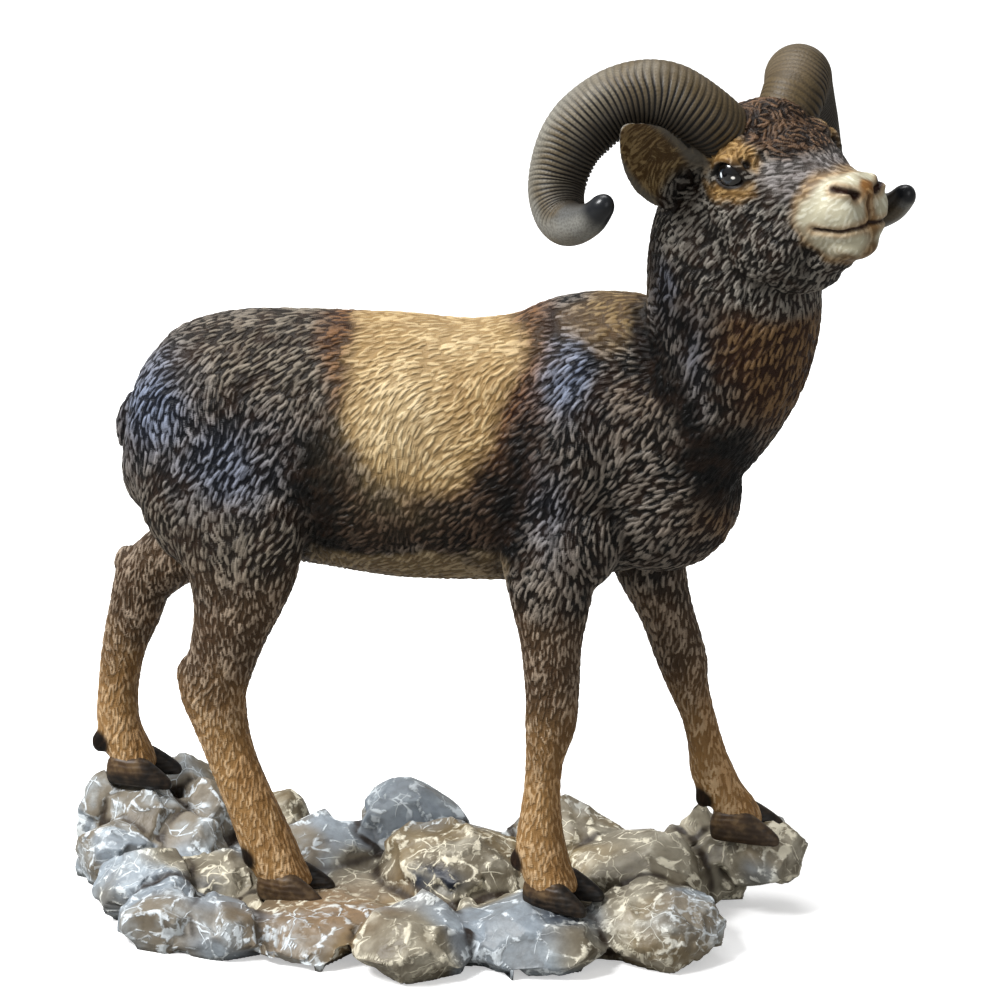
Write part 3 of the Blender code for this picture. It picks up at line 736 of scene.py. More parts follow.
def drawing_axes():
    """The way across the side drawing, and the way that it is looked at."""
    turn, rise = math.radians(DRAWING_TURN), math.radians(DRAWING_RISE)
    right = np.array((math.cos(turn), math.sin(turn), 0.0))
    back, level = math.sin(rise), math.cos(rise)
    return right, np.array((-math.sin(turn) * level, math.cos(turn) * level, -back))


def side_drawing(points):
    """Where points lie on the side drawing, across and down."""
    right, ahead = drawing_axes()
    rows = points - np.array(DRAWING_CENTRE) + DRAWING_DISTANCE * ahead
    depth = rows @ ahead
    across = DRAWING_MIDDLE + DRAWING_SCALE * (rows @ right) / depth
    return across, DRAWING_MIDDLE - DRAWING_SCALE * (rows @ np.cross(right, ahead)) / depth


def within(u, v, outline, soft):
    """1 inside a closed outline on the drawing, 0 outside it, and smooth over the edge."""
    best = np.full(len(u), 1e9)
    odd = np.zeros(len(u), bool)
    for (a, b), (c, d) in zip(outline, outline[1:] + outline[:1]):
        long, high = c - a, d - b
        t = np.clip(((u - a) * long + (v - b) * high) / (long**2 + high**2), 0, 1)
        best = np.minimum(best, np.hypot(u - a - t * long, v - b - t * high))
        odd ^= ((b > v) != (d > v)) & (u < a + (v - b) * long / (high or 1e-9))
    return step(-soft, soft, np.where(odd, best, -best))


def relaxed(values, quads, rounds):
    """Values at the vertices, averaged with their neighbours that many times."""
    a = quads.ravel()
    b = np.roll(quads, -1, axis=1).ravel()
    count = np.bincount(a, minlength=len(values)) + np.bincount(b, minlength=len(values))
    flat = values.reshape(len(values), -1)
    for _ in range(rounds):
        fresh = np.empty_like(flat)
        for k in range(flat.shape[1]):
            column = flat[:, k]
            total = np.bincount(a, column[b], len(flat)) + np.bincount(b, column[a], len(flat))
            fresh[:, k] = 0.5 * column + 0.5 * total / count
        flat = fresh
    return flat.reshape(values.shape)


def hollowness(points, normals, quads, rounds):
    """How far each vertex lies below its surroundings, in millimetres."""
    return ((relaxed(points, quads, rounds) - points) * normals).sum(1)


def groove(distance, depth, width):
    """How deep a rounded groove is at a distance from its middle line."""
    return depth * np.exp(-((distance / width) ** 2))


def head_matrix():
    """The matrix in millimetres that takes the head's frame, with +X to the nose, to the object's."""
    turn = Matrix.Rotation(math.radians(HEAD_YAW), 4, "Z")
    turn @= Matrix.Rotation(math.radians(-HEAD_PITCH), 4, "Y")
    turn @= Matrix.Rotation(math.radians(HEAD_ROLL), 4, "X")
    return Matrix.Translation(HEAD_CENTRE) @ turn


HEAD = head_matrix()


# The animal's body.


def trunk():
    """Ribs, loins, rump, neck and tail, with the muscles over them."""
    rows = [(x, 0.0, z, high, wide) for x, z, wide, high in TRUNK]
    root = np.array(TAIL_ROOT)
    tail = [
        (*root, TAIL_RADIUS, TAIL_RADIUS),
        (*(root + np.array((-0.26, 0.0, -0.45)) * TAIL_LENGTH), TAIL_RADIUS, TAIL_RADIUS),
        (*(root + np.array((-0.22, 0.0, -0.90)) * TAIL_LENGTH), TAIL_RADIUS, TAIL_RADIUS * 0.8),
    ]
    lofts = [limb(rows, sides=28, egg=EGG_SHARE), limb(NECK, sides=24), limb(tail, sides=10)]
    return masses(MUSCLES) + lofts


def dewclaws():
    """Where the dewclaws sit, two behind each foot."""
    places = []
    for x, y, ground, heading in FEET.values():
        angle = math.radians(heading)
        back = np.array((-math.cos(angle), -math.sin(angle), 0))
        side = np.array((math.sin(angle), -math.cos(angle), 0))
        middle = np.array((x, y, ground + DEWCLAW_RISE)) + back * DEWCLAW_BACK
        for way in (-1, 1):
            places.append(middle + side * DEWCLAW_SPREAD * way)
    return places


def legs():
    """Four legs, with the points of the hocks and the dewclaws."""
    parts = [limb(stations, sides=16) for stations in LEGS.values()]
    parts += [ellipsoid(place, DEWCLAW_RADII) for place in dewclaws()]
    parts += [ellipsoid(centre, radii, tilt) for centre, radii, tilt in HOCKS.values()]
    return parts


def ear_frame(side):
    """Root, tip, the way along the ear, and the way that its cup faces."""
    root = Vector((EAR_ROOT[0], EAR_ROOT[1] * side, EAR_ROOT[2]))
    tip = Vector(EAR_TIPS[side])
    along = (tip - root).normalized()
    facing = Vector((EAR_FACING[0], EAR_FACING[1] * side, EAR_FACING[2]))
    facing = (facing - along * facing.dot(along)).normalized()
    return root, tip, along, facing


def ear_width(s):
    """Half the width of the ear at a share of its length, before it narrows to the tip."""
    return EAR_HALF_WIDTH * (0.6 + 0.4 * np.sin(np.pi * s**0.9))


def ear(side):
    """A leaf-shaped cup that opens forwards and outwards, with its back against the horn."""
    root, tip, along, facing = ear_frame(side)
    across = facing.cross(along)
    half = 8
    rings = []
    for k in range(25):
        s = k / 24
        width = ear_width(s) * (1 - s**6) + 0.9 * s**3
        cup = EAR_CUP * width / EAR_HALF_WIDTH
        middle = root.lerp(tip, s)
        back, front = [], []
        for i in range(half + 1):
            q = -1 + 2 * i / half
            sheet = middle + across * width * q - facing * cup * (1 - q * q)
            wall = EAR_THICKNESS * (1 - 0.5 * q * q) * (1 - 0.35 * s)
            back.append(sheet - facing * wall / 2)
            front.append(sheet + facing * wall / 2)
        rings.append(back + front[::-1])
    return ring_loft(rings)


def head():
    """Skull, cheeks, muzzle, lids and ears, in the head's frame."""
    rows = [(x, 0.0, z, high, wide) for x, z, wide, high in SKULL]
    parts = [limb(rows, sides=24, egg=SKULL_EGG), *masses(HEAD_MASSES)]
    for side in (-1, 1):
        parts.append(ear(side))
        for line in (UPPER_LID, LOWER_LID):
            lid = [(x, -y * side, z, LID_RADIUS, LID_RADIUS) for x, y, z in line]
            parts.append(limb(lid, sides=12))
    return [moved(part, HEAD) for part in parts]


def face_coordinates(points):
    """Points in the head's frame."""
    grid = np.array(HEAD.inverted())
    return points @ grid[:3, :3].T + grid[:3, 3]


def mirrored(points):
    """Points with the left half laid over the right one."""
    return np.stack([points[:, 0], -np.abs(points[:, 1]), points[:, 2]], 1)


def on_the_head(face):
    """1 on the head and 0 below it."""
    f, l, h = face.T
    return step(*HEAD_REACH, np.sqrt((f / 1.15) ** 2 + l**2 + ((h + 4) * 1.05) ** 2))


def coat_flow(points, normals, face):
    """The way the hair lies at each vertex, along the skin."""
    x, y, z = points.T
    f, l, h = face.T
    steep = 20 + 34 * step(99, 82, z) + 16 * step(-12, -26, x) + 8 * step(74, 62, z)
    steep = np.radians(steep + 20 * waves(points, 7, 5))
    wish = np.stack([-np.cos(steep), 0.12 * waves(points, 7, 6), -np.sin(steep)], 1)
    leg = step(60, 50, z)[:, None]
    down = np.stack([0.2 * waves(points, 4, 7), 0.15 * waves(points, 4, 8), -np.ones(len(x))], 1)
    wish = wish * (1 - leg) + leg * down
    neck = (step(33, 39, x) * step(80, 88, z))[:, None]
    slant = 0.3 + 0.3 * waves(points, 6, 9)
    mane = np.stack([-slant, 0.1 * waves(points, 6, 10), -np.ones(len(x))], 1)
    wish = wish * (1 - neck) + neck * mane
    turn = np.array(HEAD)[:3, :3]
    tousle = step(1.0, 4.5, h) * step(6, 1, f)
    sweep = -0.35 - 0.75 * step(-2, -10, h)
    cheek = np.stack([-np.ones(len(f)), 0.25 * waves(points, 3, 11), sweep], 1)
    curl = np.stack([waves(points, 2.8, 12), waves(points, 2.6, 13), waves(points, 3.0, 14)], 1)
    skull = (cheek * (1 - tousle[:, None]) + 1.6 * tousle[:, None] * curl) @ turn.T
    share = on_the_head(face)[:, None]
    wish = wish * (1 - share) + share * skull
    return unit(wish - normals * (wish * normals).sum(1, keepdims=True))


def near_pairs(rows, others, reach):
    """Pairs of indices, in batches, of rows and others that may lie within that distance."""
    low = np.minimum(rows.min(0), others.min(0)) - 2 * reach
    span = np.floor((np.maximum(rows.max(0), others.max(0)) - low) / reach).astype(int) + 3
    weights = np.array((span[1] * span[2], span[2], 1))
    home = np.floor((rows - low) / reach).astype(int) @ weights
    key = np.floor((others - low) / reach).astype(int) @ weights
    sort = np.argsort(key, kind="stable")
    ordered = key[sort]
    for shift in np.ndindex(3, 3, 3):
        wanted = home + (np.array(shift) - 1) @ weights
        start = np.searchsorted(ordered, wanted, "left")
        total = np.searchsorted(ordered, wanted, "right") - start
        first = np.repeat(np.arange(len(rows)), total)
        offset = np.arange(len(first)) - np.repeat(np.cumsum(total) - total, total)
        yield first, sort[start[first] + offset]


def spread(points, normals, flow, size, seed):
    """Vertices for the strokes, evenly apart: further along the flow than across it."""
    chance = np.random.default_rng(seed)
    chosen = scattered(points, STROKE_GRID, seed)
    places, along = points[chosen], flow[chosen]
    side = np.cross(normals[chosen], along)
    scale = size[chosen]
    links = []
    for first, other in near_pairs(places, places, STROKE_GAPS[0]):
        gap = places[other] - places[first]
        a = (gap * along[first]).sum(1) / (STROKE_GAPS[0] * scale[first])
        b = (gap * side[first]).sum(1) / (STROKE_GAPS[1] * scale[first])
        close = (a * a + b * b < 1) & (first != other)
        links.append((first[close], other[close]))
    one, two = (np.concatenate(column) for column in zip(*links))
    one, two = np.concatenate([one, two]), np.concatenate([two, one])
    rank = chance.permutation(len(chosen))
    open_rows = np.ones(len(chosen), bool)
    kept = np.zeros(len(chosen), bool)
    while open_rows.any():
        live = open_rows[one] & open_rows[two]
        one, two = one[live], two[live]
        best = np.full(len(chosen), -1)
        np.maximum.at(best, one, rank[two])
        fresh = open_rows & (rank > best)
        kept |= fresh
        open_rows &= ~fresh
        open_rows[two[fresh[one]]] = False
    return chosen[kept]


def strokes(points, normals, flow, size, seed):
    """The relief of comma-shaped strokes, from 0 to 1, and a random tone for each stroke."""
    chance = np.random.default_rng(seed)
    centre = spread(points, normals, flow, size, seed)
    count = len(centre)
    lean = np.radians(chance.normal(0, 9, count))[:, None]
    side = np.cross(normals, flow)[centre]
    along = flow[centre] * np.cos(lean) + side * np.sin(lean)
    side = np.cross(normals[centre], along)
    long = STROKE_LENGTH * size[centre] * chance.uniform(0.8, 1.2, count)
    wide = STROKE_WIDTH * size[centre] * chance.uniform(0.85, 1.15, count)
    bend = chance.normal(0.05, 0.13, count)
    level = chance.uniform(0.7, 1.0, count)
    found = []
    for who, vertex in near_pairs(points[centre], points, STROKE_LENGTH * 1.3):
        gap = points[vertex] - points[centre[who]]
        a = (gap * along[who]).sum(1) / long[who]
        b = ((gap * side[who]).sum(1) - bend[who] * long[who] * a * a) / wide[who]
        inside = (a * a < 1) & (b * b < 1)
        a, b, who, vertex = a[inside], b[inside], who[inside], vertex[inside]
        found.append((vertex, who, (1 - b * b) * np.sqrt(1 - a * a) * (0.78 + 0.22 * a) * level[who]))
    vertex, who, rise = (np.concatenate(column) for column in zip(*found))
    rank = np.lexsort((rise, vertex))
    last = np.append(vertex[rank][1:] != vertex[rank][:-1], True)
    winners = rank[last]
    height, tone = np.zeros(len(points)), np.zeros(len(points))
    height[vertex[winners]] = rise[winners]
    tone[vertex[winners]] = chance.uniform(-1, 1, count)[who[winners]]
    return height, tone


def face_lines(face):
    """Distances to the mouth, nostrils, cleft of the lip and lids, each line laid onto the skin."""
    near = np.flatnonzero(np.linalg.norm(face - (6, 0, -4), axis=1) < 17)
    table = {
        "mouth": MOUTH,
        "nostril": NOSTRIL,
        "cleft": PHILTRUM,
        "upper_lid": UPPER_LID,
        "lower_lid": LOWER_LID,
    }
    made = {}
    for name, stations in table.items():
        line = through(stations, 5)
        distance = np.full(len(face), 99.0)
        for side in (1, -1):
            gaps = np.linalg.norm(face[near][:, None, :] - (line * (1, side, 1))[None, :, :], axis=2)
            laid = relaxed_line(face[near[gaps.argmin(0)]])
            distance[near] = np.minimum(distance[near], line_distance(face[near], laid))
        made[name] = distance
    return made


def relaxed_line(line):
    """A polyline with its inner points averaged with their neighbours."""
    made = line.copy()
    made[1:-1] = (line[:-2] + 2 * line[1:-1] + line[2:]) / 4
    return made


def zone_masks(points, face):
    """The painted zones of the two drawings, as values from 0 to 1."""
    head = on_the_head(face)
    trunk_share = step(50, 57, points[:, 2]) * (1 - head)
    u, v = side_drawing(mirrored(points))
    u = u + 5 * waves(points, 5, 20) + 2 * waves(points, 1.3, 26)
    v = v + 5 * waves(points, 5, 21) + 2 * waves(points, 1.3, 27)
    masks = {}
    for name, soft, outline in BODY_ZONES:
        masks[name] = np.maximum(masks.get(name, 0), within(u, v, outline, soft) * trunk_share)
    for name, a, b, half_a, half_b, strength in BODY_PATCHES:
        patch = strength * np.exp(-(((u - a) / half_a) ** 2) - ((v - b) / half_b) ** 2)
        masks[name] = np.maximum(masks.get(name, 0), patch * trunk_share)
    front = head * step(-10, -6, face[:, 0])
    grid = np.array(HEAD)
    u, v = side_drawing(mirrored(face) @ grid[:3, :3].T + grid[:3, 3])
    u = u + 1.6 * waves(points, 1.6, 23)
    v = v + 1.6 * waves(points, 1.6, 24)
    for name, soft, outline in FACE_ZONES:
        masks[name] = np.maximum(masks.get(name, 0), within(u, v, outline, soft) * front)
    return masks


def coat_masks(points, normals, face, lines):
    """Every mask of the coat's paint, as values from 0 to 1."""
    masks = zone_masks(points, face)
    z = points[:, 2] + 1.5 * waves(points, 4, 22)
    leg = step(60, 50, z)
    masks["leg"] = leg
    masks["tan"] = step(44, 24, z)
    forwards = step(0.2, 0.9, normals[:, 0] + 0.3 * waves(points, 3, 28))
    masks["sienna"] = 0.6 * leg * forwards * step(46, 26, z)
    masks["head"] = on_the_head(face)
    mouth, nostril, cleft = lines["mouth"], lines["nostril"], lines["cleft"]
    slits = [step(0.45, 0.15, mouth), step(1.05, 0.55, nostril), 0.6 * step(0.4, 0.15, cleft)]
    halo = [step(1.6, 0.5, mouth), step(1.9, 0.9, nostril), step(1.3, 0.4, cleft)]
    masks["lips"] = 0.6 * np.maximum.reduce(halo) * step(7, 10, face[:, 0])
    masks["slit"] = np.maximum.reduce(slits)
    eye_middle = np.array(EYE_CENTRE) * (1, -1, 1)
    rim = np.linalg.norm(mirrored(face) - eye_middle, axis=1) - EYE_RADIUS
    masks["lid"] = step(0.75, 0.3, rim)
    lids = step(1.0, 0.6, np.minimum(lines["upper_lid"], lines["lower_lid"]))
    claws = [step(2.6, 1.6, np.linalg.norm(points - place, axis=1)) for place in dewclaws()]
    masks["claw"] = np.maximum.reduce(claws)
    masks["ear"], masks["ear_inner"], masks["ear_side"] = ear_masks(normals, face)
    smooth = [
        0.95 * masks["cream"],
        0.9 * masks["tawny"],
        lids,
        masks["lips"],
        0.8 * masks["ear"],
        0.55 * masks["withers"],
        0.35 * masks["bridge"],
        0.4 * masks["tan"],
        masks["claw"],
    ]
    masks["bare"] = np.maximum.reduce(smooth)
    return masks


def ear_masks(normals, face):
    """Which vertices are ear, which lie in its cup, and how far each is off its middle."""
    ears, inner, off_middle = (np.zeros(len(face)) for _ in range(3))
    for side in (-1, 1):
        root, tip, along, facing = ear_frame(side)
        t = (face - np.array(root)) @ np.array(along) / (tip - root).length
        off = np.linalg.norm(face - np.array(root) - t[:, None] * np.array(tip - root), axis=1)
        width = ear_width(np.clip(t, 0, 1))
        member = step(0.16, 0.3, t) * step(1.12, 1.05, t) * step(width + 1.4, width + 0.6, off)
        turn = np.array(HEAD)[:3, :3] @ np.array(facing)
        ears = np.maximum(ears, member)
        inner = np.maximum(inner, member * step(0.25, 0.6, normals @ turn))
        across = np.array(facing.cross(along))
        beside = (face - np.array(root)) @ across - t * ((tip - root) @ Vector(across))
        off_middle = np.where(member > 0.1, beside / width, off_middle)
    return ears, inner, off_middle


def coat(low, high):
    """The whole skin of the animal, carved and painted, parted into pieces."""
    points, normals, quads = melted("coat", trunk() + legs() + head(), HAIR_VOXEL, HAIR_SMOOTHING)
    face = face_coordinates(points)
    flow = coat_flow(points, normals, face)
    lines = face_lines(face)
    masks = coat_masks(points, normals, face, lines)
    size = 1 - 0.25 * masks["leg"] - 0.15 * masks["head"] - 0.1 * masks["forelock"]
    height, tone = strokes(points, normals, flow, size, 3)
    hollow = hollowness(points, normals, quads, COAT_HOLLOW_ROUNDS)
    masks["crest"] = height
    masks["tone"] = tone
    masks["hollow"] = np.clip(hollow * 3, -1, 1)
    relief = STROKE_RELIEF * (1 - masks["bare"]) * (1 - 0.4 * masks["leg"])
    relief = relief * (1 - 0.25 * masks["saddle"]) * (1 + 0.15 * masks["forelock"])
    lift = relief * (height - 0.9)
    lift -= groove(lines["mouth"], *MOUTH_GROOVE) * step(7, 9.5, face[:, 0])
    lift -= groove(lines["nostril"], *NOSTRIL_GROOVE)
    lift -= groove(lines["cleft"], *CLEFT_GROOVE)
    points = np.clip(points + normals * lift[:, None], low, high)
    middle = points[quads].mean(1)
    neck_x, neck_z, slope = HEAD_PART
    inside_head = (middle[:, 2] - neck_z) + slope * (middle[:, 0] - neck_x) > 0
    inside_legs = middle[:, 2] < LEG_PART
    body = ~inside_head & ~inside_legs
    parts = {
        "coat_head": inside_head,
        "coat_shoulder": body & (middle[:, 0] > SHOULDER_PART),
        "coat_flank": body & (middle[:, 0] <= SHOULDER_PART) & (middle[:, 0] > RUMP_PART),
        "coat_rump": body & (middle[:, 0] <= RUMP_PART),
        "coat_legs": inside_legs & ~inside_head,
    }
    paint = coat_paint()
    made = []
    for name, chosen in parts.items():
        piece = closed_off(skin_object(name, points, quads[chosen], masks, flow))
        piece.data.materials.append(paint)
        made.append(piece)
    return made


# Horns, eyes and hooves.


def even_path(points, count):
    """Points at equal distances along a polyline."""
    steps = np.linalg.norm(np.diff(points, axis=0), axis=1)
    lengths = np.concatenate([[0.0], np.cumsum(steps)])
    goals = np.linspace(0, lengths[-1], count)
    return np.stack([np.interp(goals, lengths, points[:, k]) for k in range(3)], 1)


def horn(side, low, high):
    """One horn, with slanting growth rings that fade towards the tip."""
    path = np.array(through(HORN, 16))
    if side > 0:
        path = path * (1, -1, 1)
        path[:, 2] -= HORN_SAG * np.maximum(0.0, path[:, 1] + HORN[1][1])
    path = even_path(path, HORN_ROWS)
    ahead = unit(np.gradient(path, axis=0))
    sideways = np.array((HORN_KEEL[0], HORN_KEEL[1] * side, HORN_KEEL[2]))
    keel = unit(sideways - ahead * (ahead @ sideways)[:, None])
    other = np.cross(keel, ahead)
    s = np.linspace(0, 1, HORN_ROWS)[:, None]
    angle = (math.tau * np.arange(HORN_SIDES) / HORN_SIDES)[None, :]
    wide = np.interp(s, np.linspace(0, 1, 5), HORN_WIDTHS)
    tall = np.interp(s, np.linspace(0, 1, 5), HORN_HEIGHTS)
    past = (s - HORN_ROUND_START) / HORN_ROUND_SHARE
    round_off = np.where(past > 0, np.sqrt(np.clip(1 - past**2, 0, 1)), 1.0)
    rim = keel[:, None, :] * np.cos(angle)[:, :, None] + other[:, None, :] * np.sin(angle)[:, :, None]
    surface = (path[:, None, :] + 4 * rim).reshape(-1, 3)
    sway = waves(surface, 3.4, 60 + side).reshape(HORN_ROWS, HORN_SIDES)
    outwards = unit(path - path.mean(0))
    inner = 0.5 - 0.5 * (rim * outwards[:, None, :]).sum(2)
    phase = s * RIDGE_COUNT / RIDGED_SHARE + 0.7 * np.cos(angle) + 0.24 * sway
    valley = 1 - np.clip(1.2 * np.abs(np.sin(np.pi * phase)), 0, 1) ** 0.8
    valley = valley * step(RIDGED_SHARE + 0.02, RIDGED_SHARE - 0.1, s) * (1 - 0.4 * s)
    depth = RIDGE_DEPTH * valley * (0.2 + 1.0 * inner) + 0.04
    ring = keel[:, None, :] * (np.cos(angle) * (wide - depth) * round_off)[:, :, None]
    ring = ring + other[:, None, :] * (np.sin(angle) * (tall - depth) * round_off)[:, :, None]
    places = np.clip(moved(((path[:, None, :] + ring).reshape(-1, 3), []), HEAD)[0], low, high)
    row = np.arange(HORN_ROWS - 1)[:, None] * HORN_SIDES
    i = np.arange(HORN_SIDES)[None, :]
    j = (i + 1) % HORN_SIDES
    quads = np.stack([row + i, row + j, row + HORN_SIDES + j, row + HORN_SIDES + i], 2).reshape(-1, 4)
    masks = {
        "groove": valley.ravel(),
        "along": np.broadcast_to(s, valley.shape).ravel(),
        "tip": np.broadcast_to(step(*HORN_TIPS[side], s), valley.shape).ravel(),
        "inner": np.broadcast_to(inner, valley.shape).ravel(),
    }
    turn = np.array(HEAD)[:3, :3].T
    ringwise = np.cross(unit(ring.reshape(-1, 3) @ turn), (ahead @ turn).repeat(HORN_SIDES, 0))
    name = "horn_right" if side < 0 else "horn_left"
    return closed_off(skin_object(name, places, quads[:, ::-1] if side < 0 else quads, masks, ringwise))


def eye(side):
    """A glossy eyeball with its painted iris."""
    centre = (EYE_CENTRE[0], EYE_CENTRE[1] * side, EYE_CENTRE[2])
    points, faces = ellipsoid((0, 0, 0), (EYE_RADIUS,) * 3, sides=64)
    look = unit(np.array([(0.16, 1.0 * side, 0.04)]))[0]
    up = np.array((0.0, 0.0, 1.0))
    ahead = np.cross(up, look) * side
    placed = moved((points + np.array(centre), faces), HEAD)
    piece = made_object("eye_right" if side < 0 else "eye_left", placed)
    piece.data.shade_smooth()
    turned = points / EYE_RADIUS
    for label, values in (("ahead", -turned @ ahead), ("up", turned @ up), ("out", turned @ look)):
        layer = piece.data.attributes.new(label, "FLOAT", "POINT")
        layer.data.foreach_set("value", values.astype(np.float32))
    return piece


def hooves():
    """Eight toes, each a wedge that narrows to its tip."""
    shells = []
    for x, y, ground, heading in FEET.values():
        for side in (-1, 1):
            angle = math.radians(heading + TOE_SPLAY * side)
            ahead = np.array((math.cos(angle), math.sin(angle), 0))
            across = np.array((-math.sin(angle), math.cos(angle), 0))
            heel = np.array((x, y, ground - HOOF_SINK)) + across * side * (TOE_HALF_WIDTH + TOE_GAP / 2)
            rings = []
            for along, wide, high in TOE_SECTIONS:
                middle = heel + ahead * HOOF_LENGTH * along
                half, top = TOE_HALF_WIDTH * wide, (HOOF_HEIGHT + HOOF_SINK) * high
                ring = [across * half * u + np.array((0, 0, top * v)) for u, v in TOE_OUTLINE]
                rings.append([middle + place for place in ring])
            shells.append(ring_loft(rings))
    piece = made_object("hooves", joined(shells))
    rounding = piece.modifiers.new("round", "SUBSURF")
    rounding.levels = rounding.render_levels = 3
    data = applied(piece)
    made = bpy.data.objects.new("hooves", data)
    bpy.context.scene.collection.objects.link(made)
    data.shade_smooth()
    places = np.zeros(len(data.vertices) * 3)
    data.vertices.foreach_get("co", places)
    places = places.reshape(-1, 3) / MM
    # The pale share: hair over the back of each hoof, and painted light on the near toes as the table
    # gives it.
    pale = np.zeros(len(places))
    for name, (x, y, ground, heading) in FEET.items():
        angle = math.radians(heading)
        gap = places - (x, y, ground)
        mine = np.linalg.norm(gap[:, :2], axis=1) < 13
        along = gap[:, 0] * math.cos(angle) + gap[:, 1] * math.sin(angle)
        right = gap[:, 1] * math.cos(angle) - gap[:, 0] * math.sin(angle) < 0
        share = np.where(right, TOE_LIGHT_SHARES[name][0], TOE_LIGHT_SHARES[name][1])
        furry = step(5.5, 2.0, along) * step(0.6, 2.6, gap[:, 2])
        pale = np.where(mine, np.maximum(share, furry), pale)
    layer = data.attributes.new("pale", "FLOAT", "POINT")
    layer.data.foreach_set("value", pale.astype(np.float32))
    return made


# The boulders.


def boulder(index, row):
    """A chiselled stone: the hull of points scattered over a squashed ball."""
    x, y, z, long, wide, high, turn = row
    chance = random.Random(40 + index)
    shape = bmesh.new()
    for k in range(FACETS):
        height = 1 - 2 * (k + 0.5) / FACETS
        angle = k * math.pi * (3 - math.sqrt(5)) + chance.uniform(-0.25, 0.25)
        ring = math.sqrt(1 - height * height)
        reach = 1 + chance.uniform(-1, 1) * BOULDER_ROUGHNESS
        point = Vector((ring * math.cos(angle), ring * math.sin(angle), height)) * reach
        shape.verts.new((point.x * long, point.y * wide, point.z * high))
    hull = bmesh.ops.convex_hull(shape, input=shape.verts)
    bmesh.ops.delete(shape, geom=list({*hull["geom_interior"], *hull["geom_unused"]}), context="VERTS")
    shape.verts.index_update()
    points = np.array([tuple(v.co) for v in shape.verts])
    faces = [tuple(v.index for v in face.verts) for face in shape.faces]
    shape.free()
    where = Matrix.Translation((x, y, z)) @ Matrix.Rotation(math.radians(turn), 4, "Z")
    return moved((points, faces), where)


def boulder_rows():
    """Every stone with its middle height. Those on the ground are sunk by the same share."""
    made = []
    for x, y, long, wide, top, turn in BOULDERS:
        made.append((x, y, top * BOULDER_SINK, long, wide, top * (1 - BOULDER_SINK), turn))
    return made + PERCHED


def nearest_seeds(points, seeds):
    """The nearest seed to each point, its distance, and how much further the next one is."""
    first = np.zeros(len(points), int)
    gap = np.zeros(len(points))
    for start in range(0, len(points), 4000):
        rows = slice(start, start + 4000)
        distance = np.linalg.norm(points[rows, None, :] - seeds[None, :, :], axis=2)
        two = np.argpartition(distance, 1, axis=1)[:, :2]
        pair = np.take_along_axis(distance, two, 1)
        swap = pair[:, 0] > pair[:, 1]
        first[rows] = np.where(swap, two[:, 1], two[:, 0])
        gap[rows] = np.abs(pair[:, 0] - pair[:, 1])
    return first, gap


def scattered(points, spacing, seed):
    """Indices of vertices that lie about that far apart."""
    chance = np.random.default_rng(seed)
    order = chance.permutation(len(points))
    cells = np.floor(points[order] / spacing).astype(int)
    _, first = np.unique(cells, axis=0, return_index=True)
    return order[first]


def rocks(low, high):
    """The boulders grown together, with chiselled facets and pale lines along their edges."""
    shells = [boulder(index, row) for index, row in enumerate(boulder_rows())]
    shells.append(ellipsoid(SLAB_CENTRE, SLAB_RADII, sides=28))
    points, normals, quads = melted("rocks", shells, ROCK_VOXEL, ROCK_SMOOTHING)
    quads = quads[points[quads][:, :, 2].max(1) > -0.6]
    soft = unit(relaxed(normals, quads, 12))
    warp = points + 0.9 * drift(points, 3.4, 71)
    chosen = scattered(warp, CHISEL_SPACING, 70)
    first, gap = nearest_seeds(warp, warp[chosen])
    centre, facing = points[chosen][first], soft[chosen][first]
    depth = ((points - centre) * facing).sum(1)
    rough = step(0.1, 0.8, waves(points, 12, 80) + 1.2 * blob(points, *ROUGH_STONE))
    warp = points + 0.5 * drift(points, 1.6, 81)
    small = scattered(warp, FLAKE_SPACING, 74)
    finer, fine_gap = nearest_seeds(warp, warp[small])
    chance = np.random.default_rng(75)
    flake = chance.uniform(-0.3, 0.05, len(small))[finer] * (0.08 + 0.92 * rough)
    shift = -facing * (FACET_FLATNESS * depth)[:, None] - soft * (CHISEL_DEPTH - flake)[:, None]
    moved_points = relaxed(points + shift, quads, 1)
    hollow = hollowness(points, normals, quads, ROCK_HOLLOW_ROUNDS)
    floor = points[:, 2] <= 0.3
    moved_points[:, 2] = np.where(floor, 0.0, np.maximum(moved_points[:, 2], 0.0))
    blue = waves(points, 13, 78) + 1.3 * step(-16, -40, points[:, 0]) + blob(points, *BLUE_WASH)
    masks = {
        "gap": np.clip(gap, 0, 3),
        "fine_gap": np.clip(fine_gap, 0, 2),
        "rough": rough,
        "hollow": np.clip(hollow * 1.6, -1, 1),
        "bluish": step(-0.2, 0.8, blue),
        "ochre": step(-0.2, 0.8, waves(points, 11, 79) + 0.6 * step(20, 40, points[:, 0])),
        "peach": blob(points, *PEACH_WASH),
        "dark_spots": sum(blob(points, *spot) for spot in DARK_SPOTS),
        "crystal": blob(points, *CRYSTAL),
        "chip": chance.uniform(-1, 1, len(chosen))[first],
    }
    return closed_off(skin_object("rock_base", np.clip(moved_points, low, high), quads, masks))


# Paint.


def rgb(red, green, blue):
    """A display colour of 0 to 255 as the renderer's linear one."""
    shares = [value / 255 for value in (red, green, blue)]
    return (*[s / 12.92 if s <= 0.04045 else ((s + 0.055) / 1.055) ** 2.4 for s in shares], 1.0)


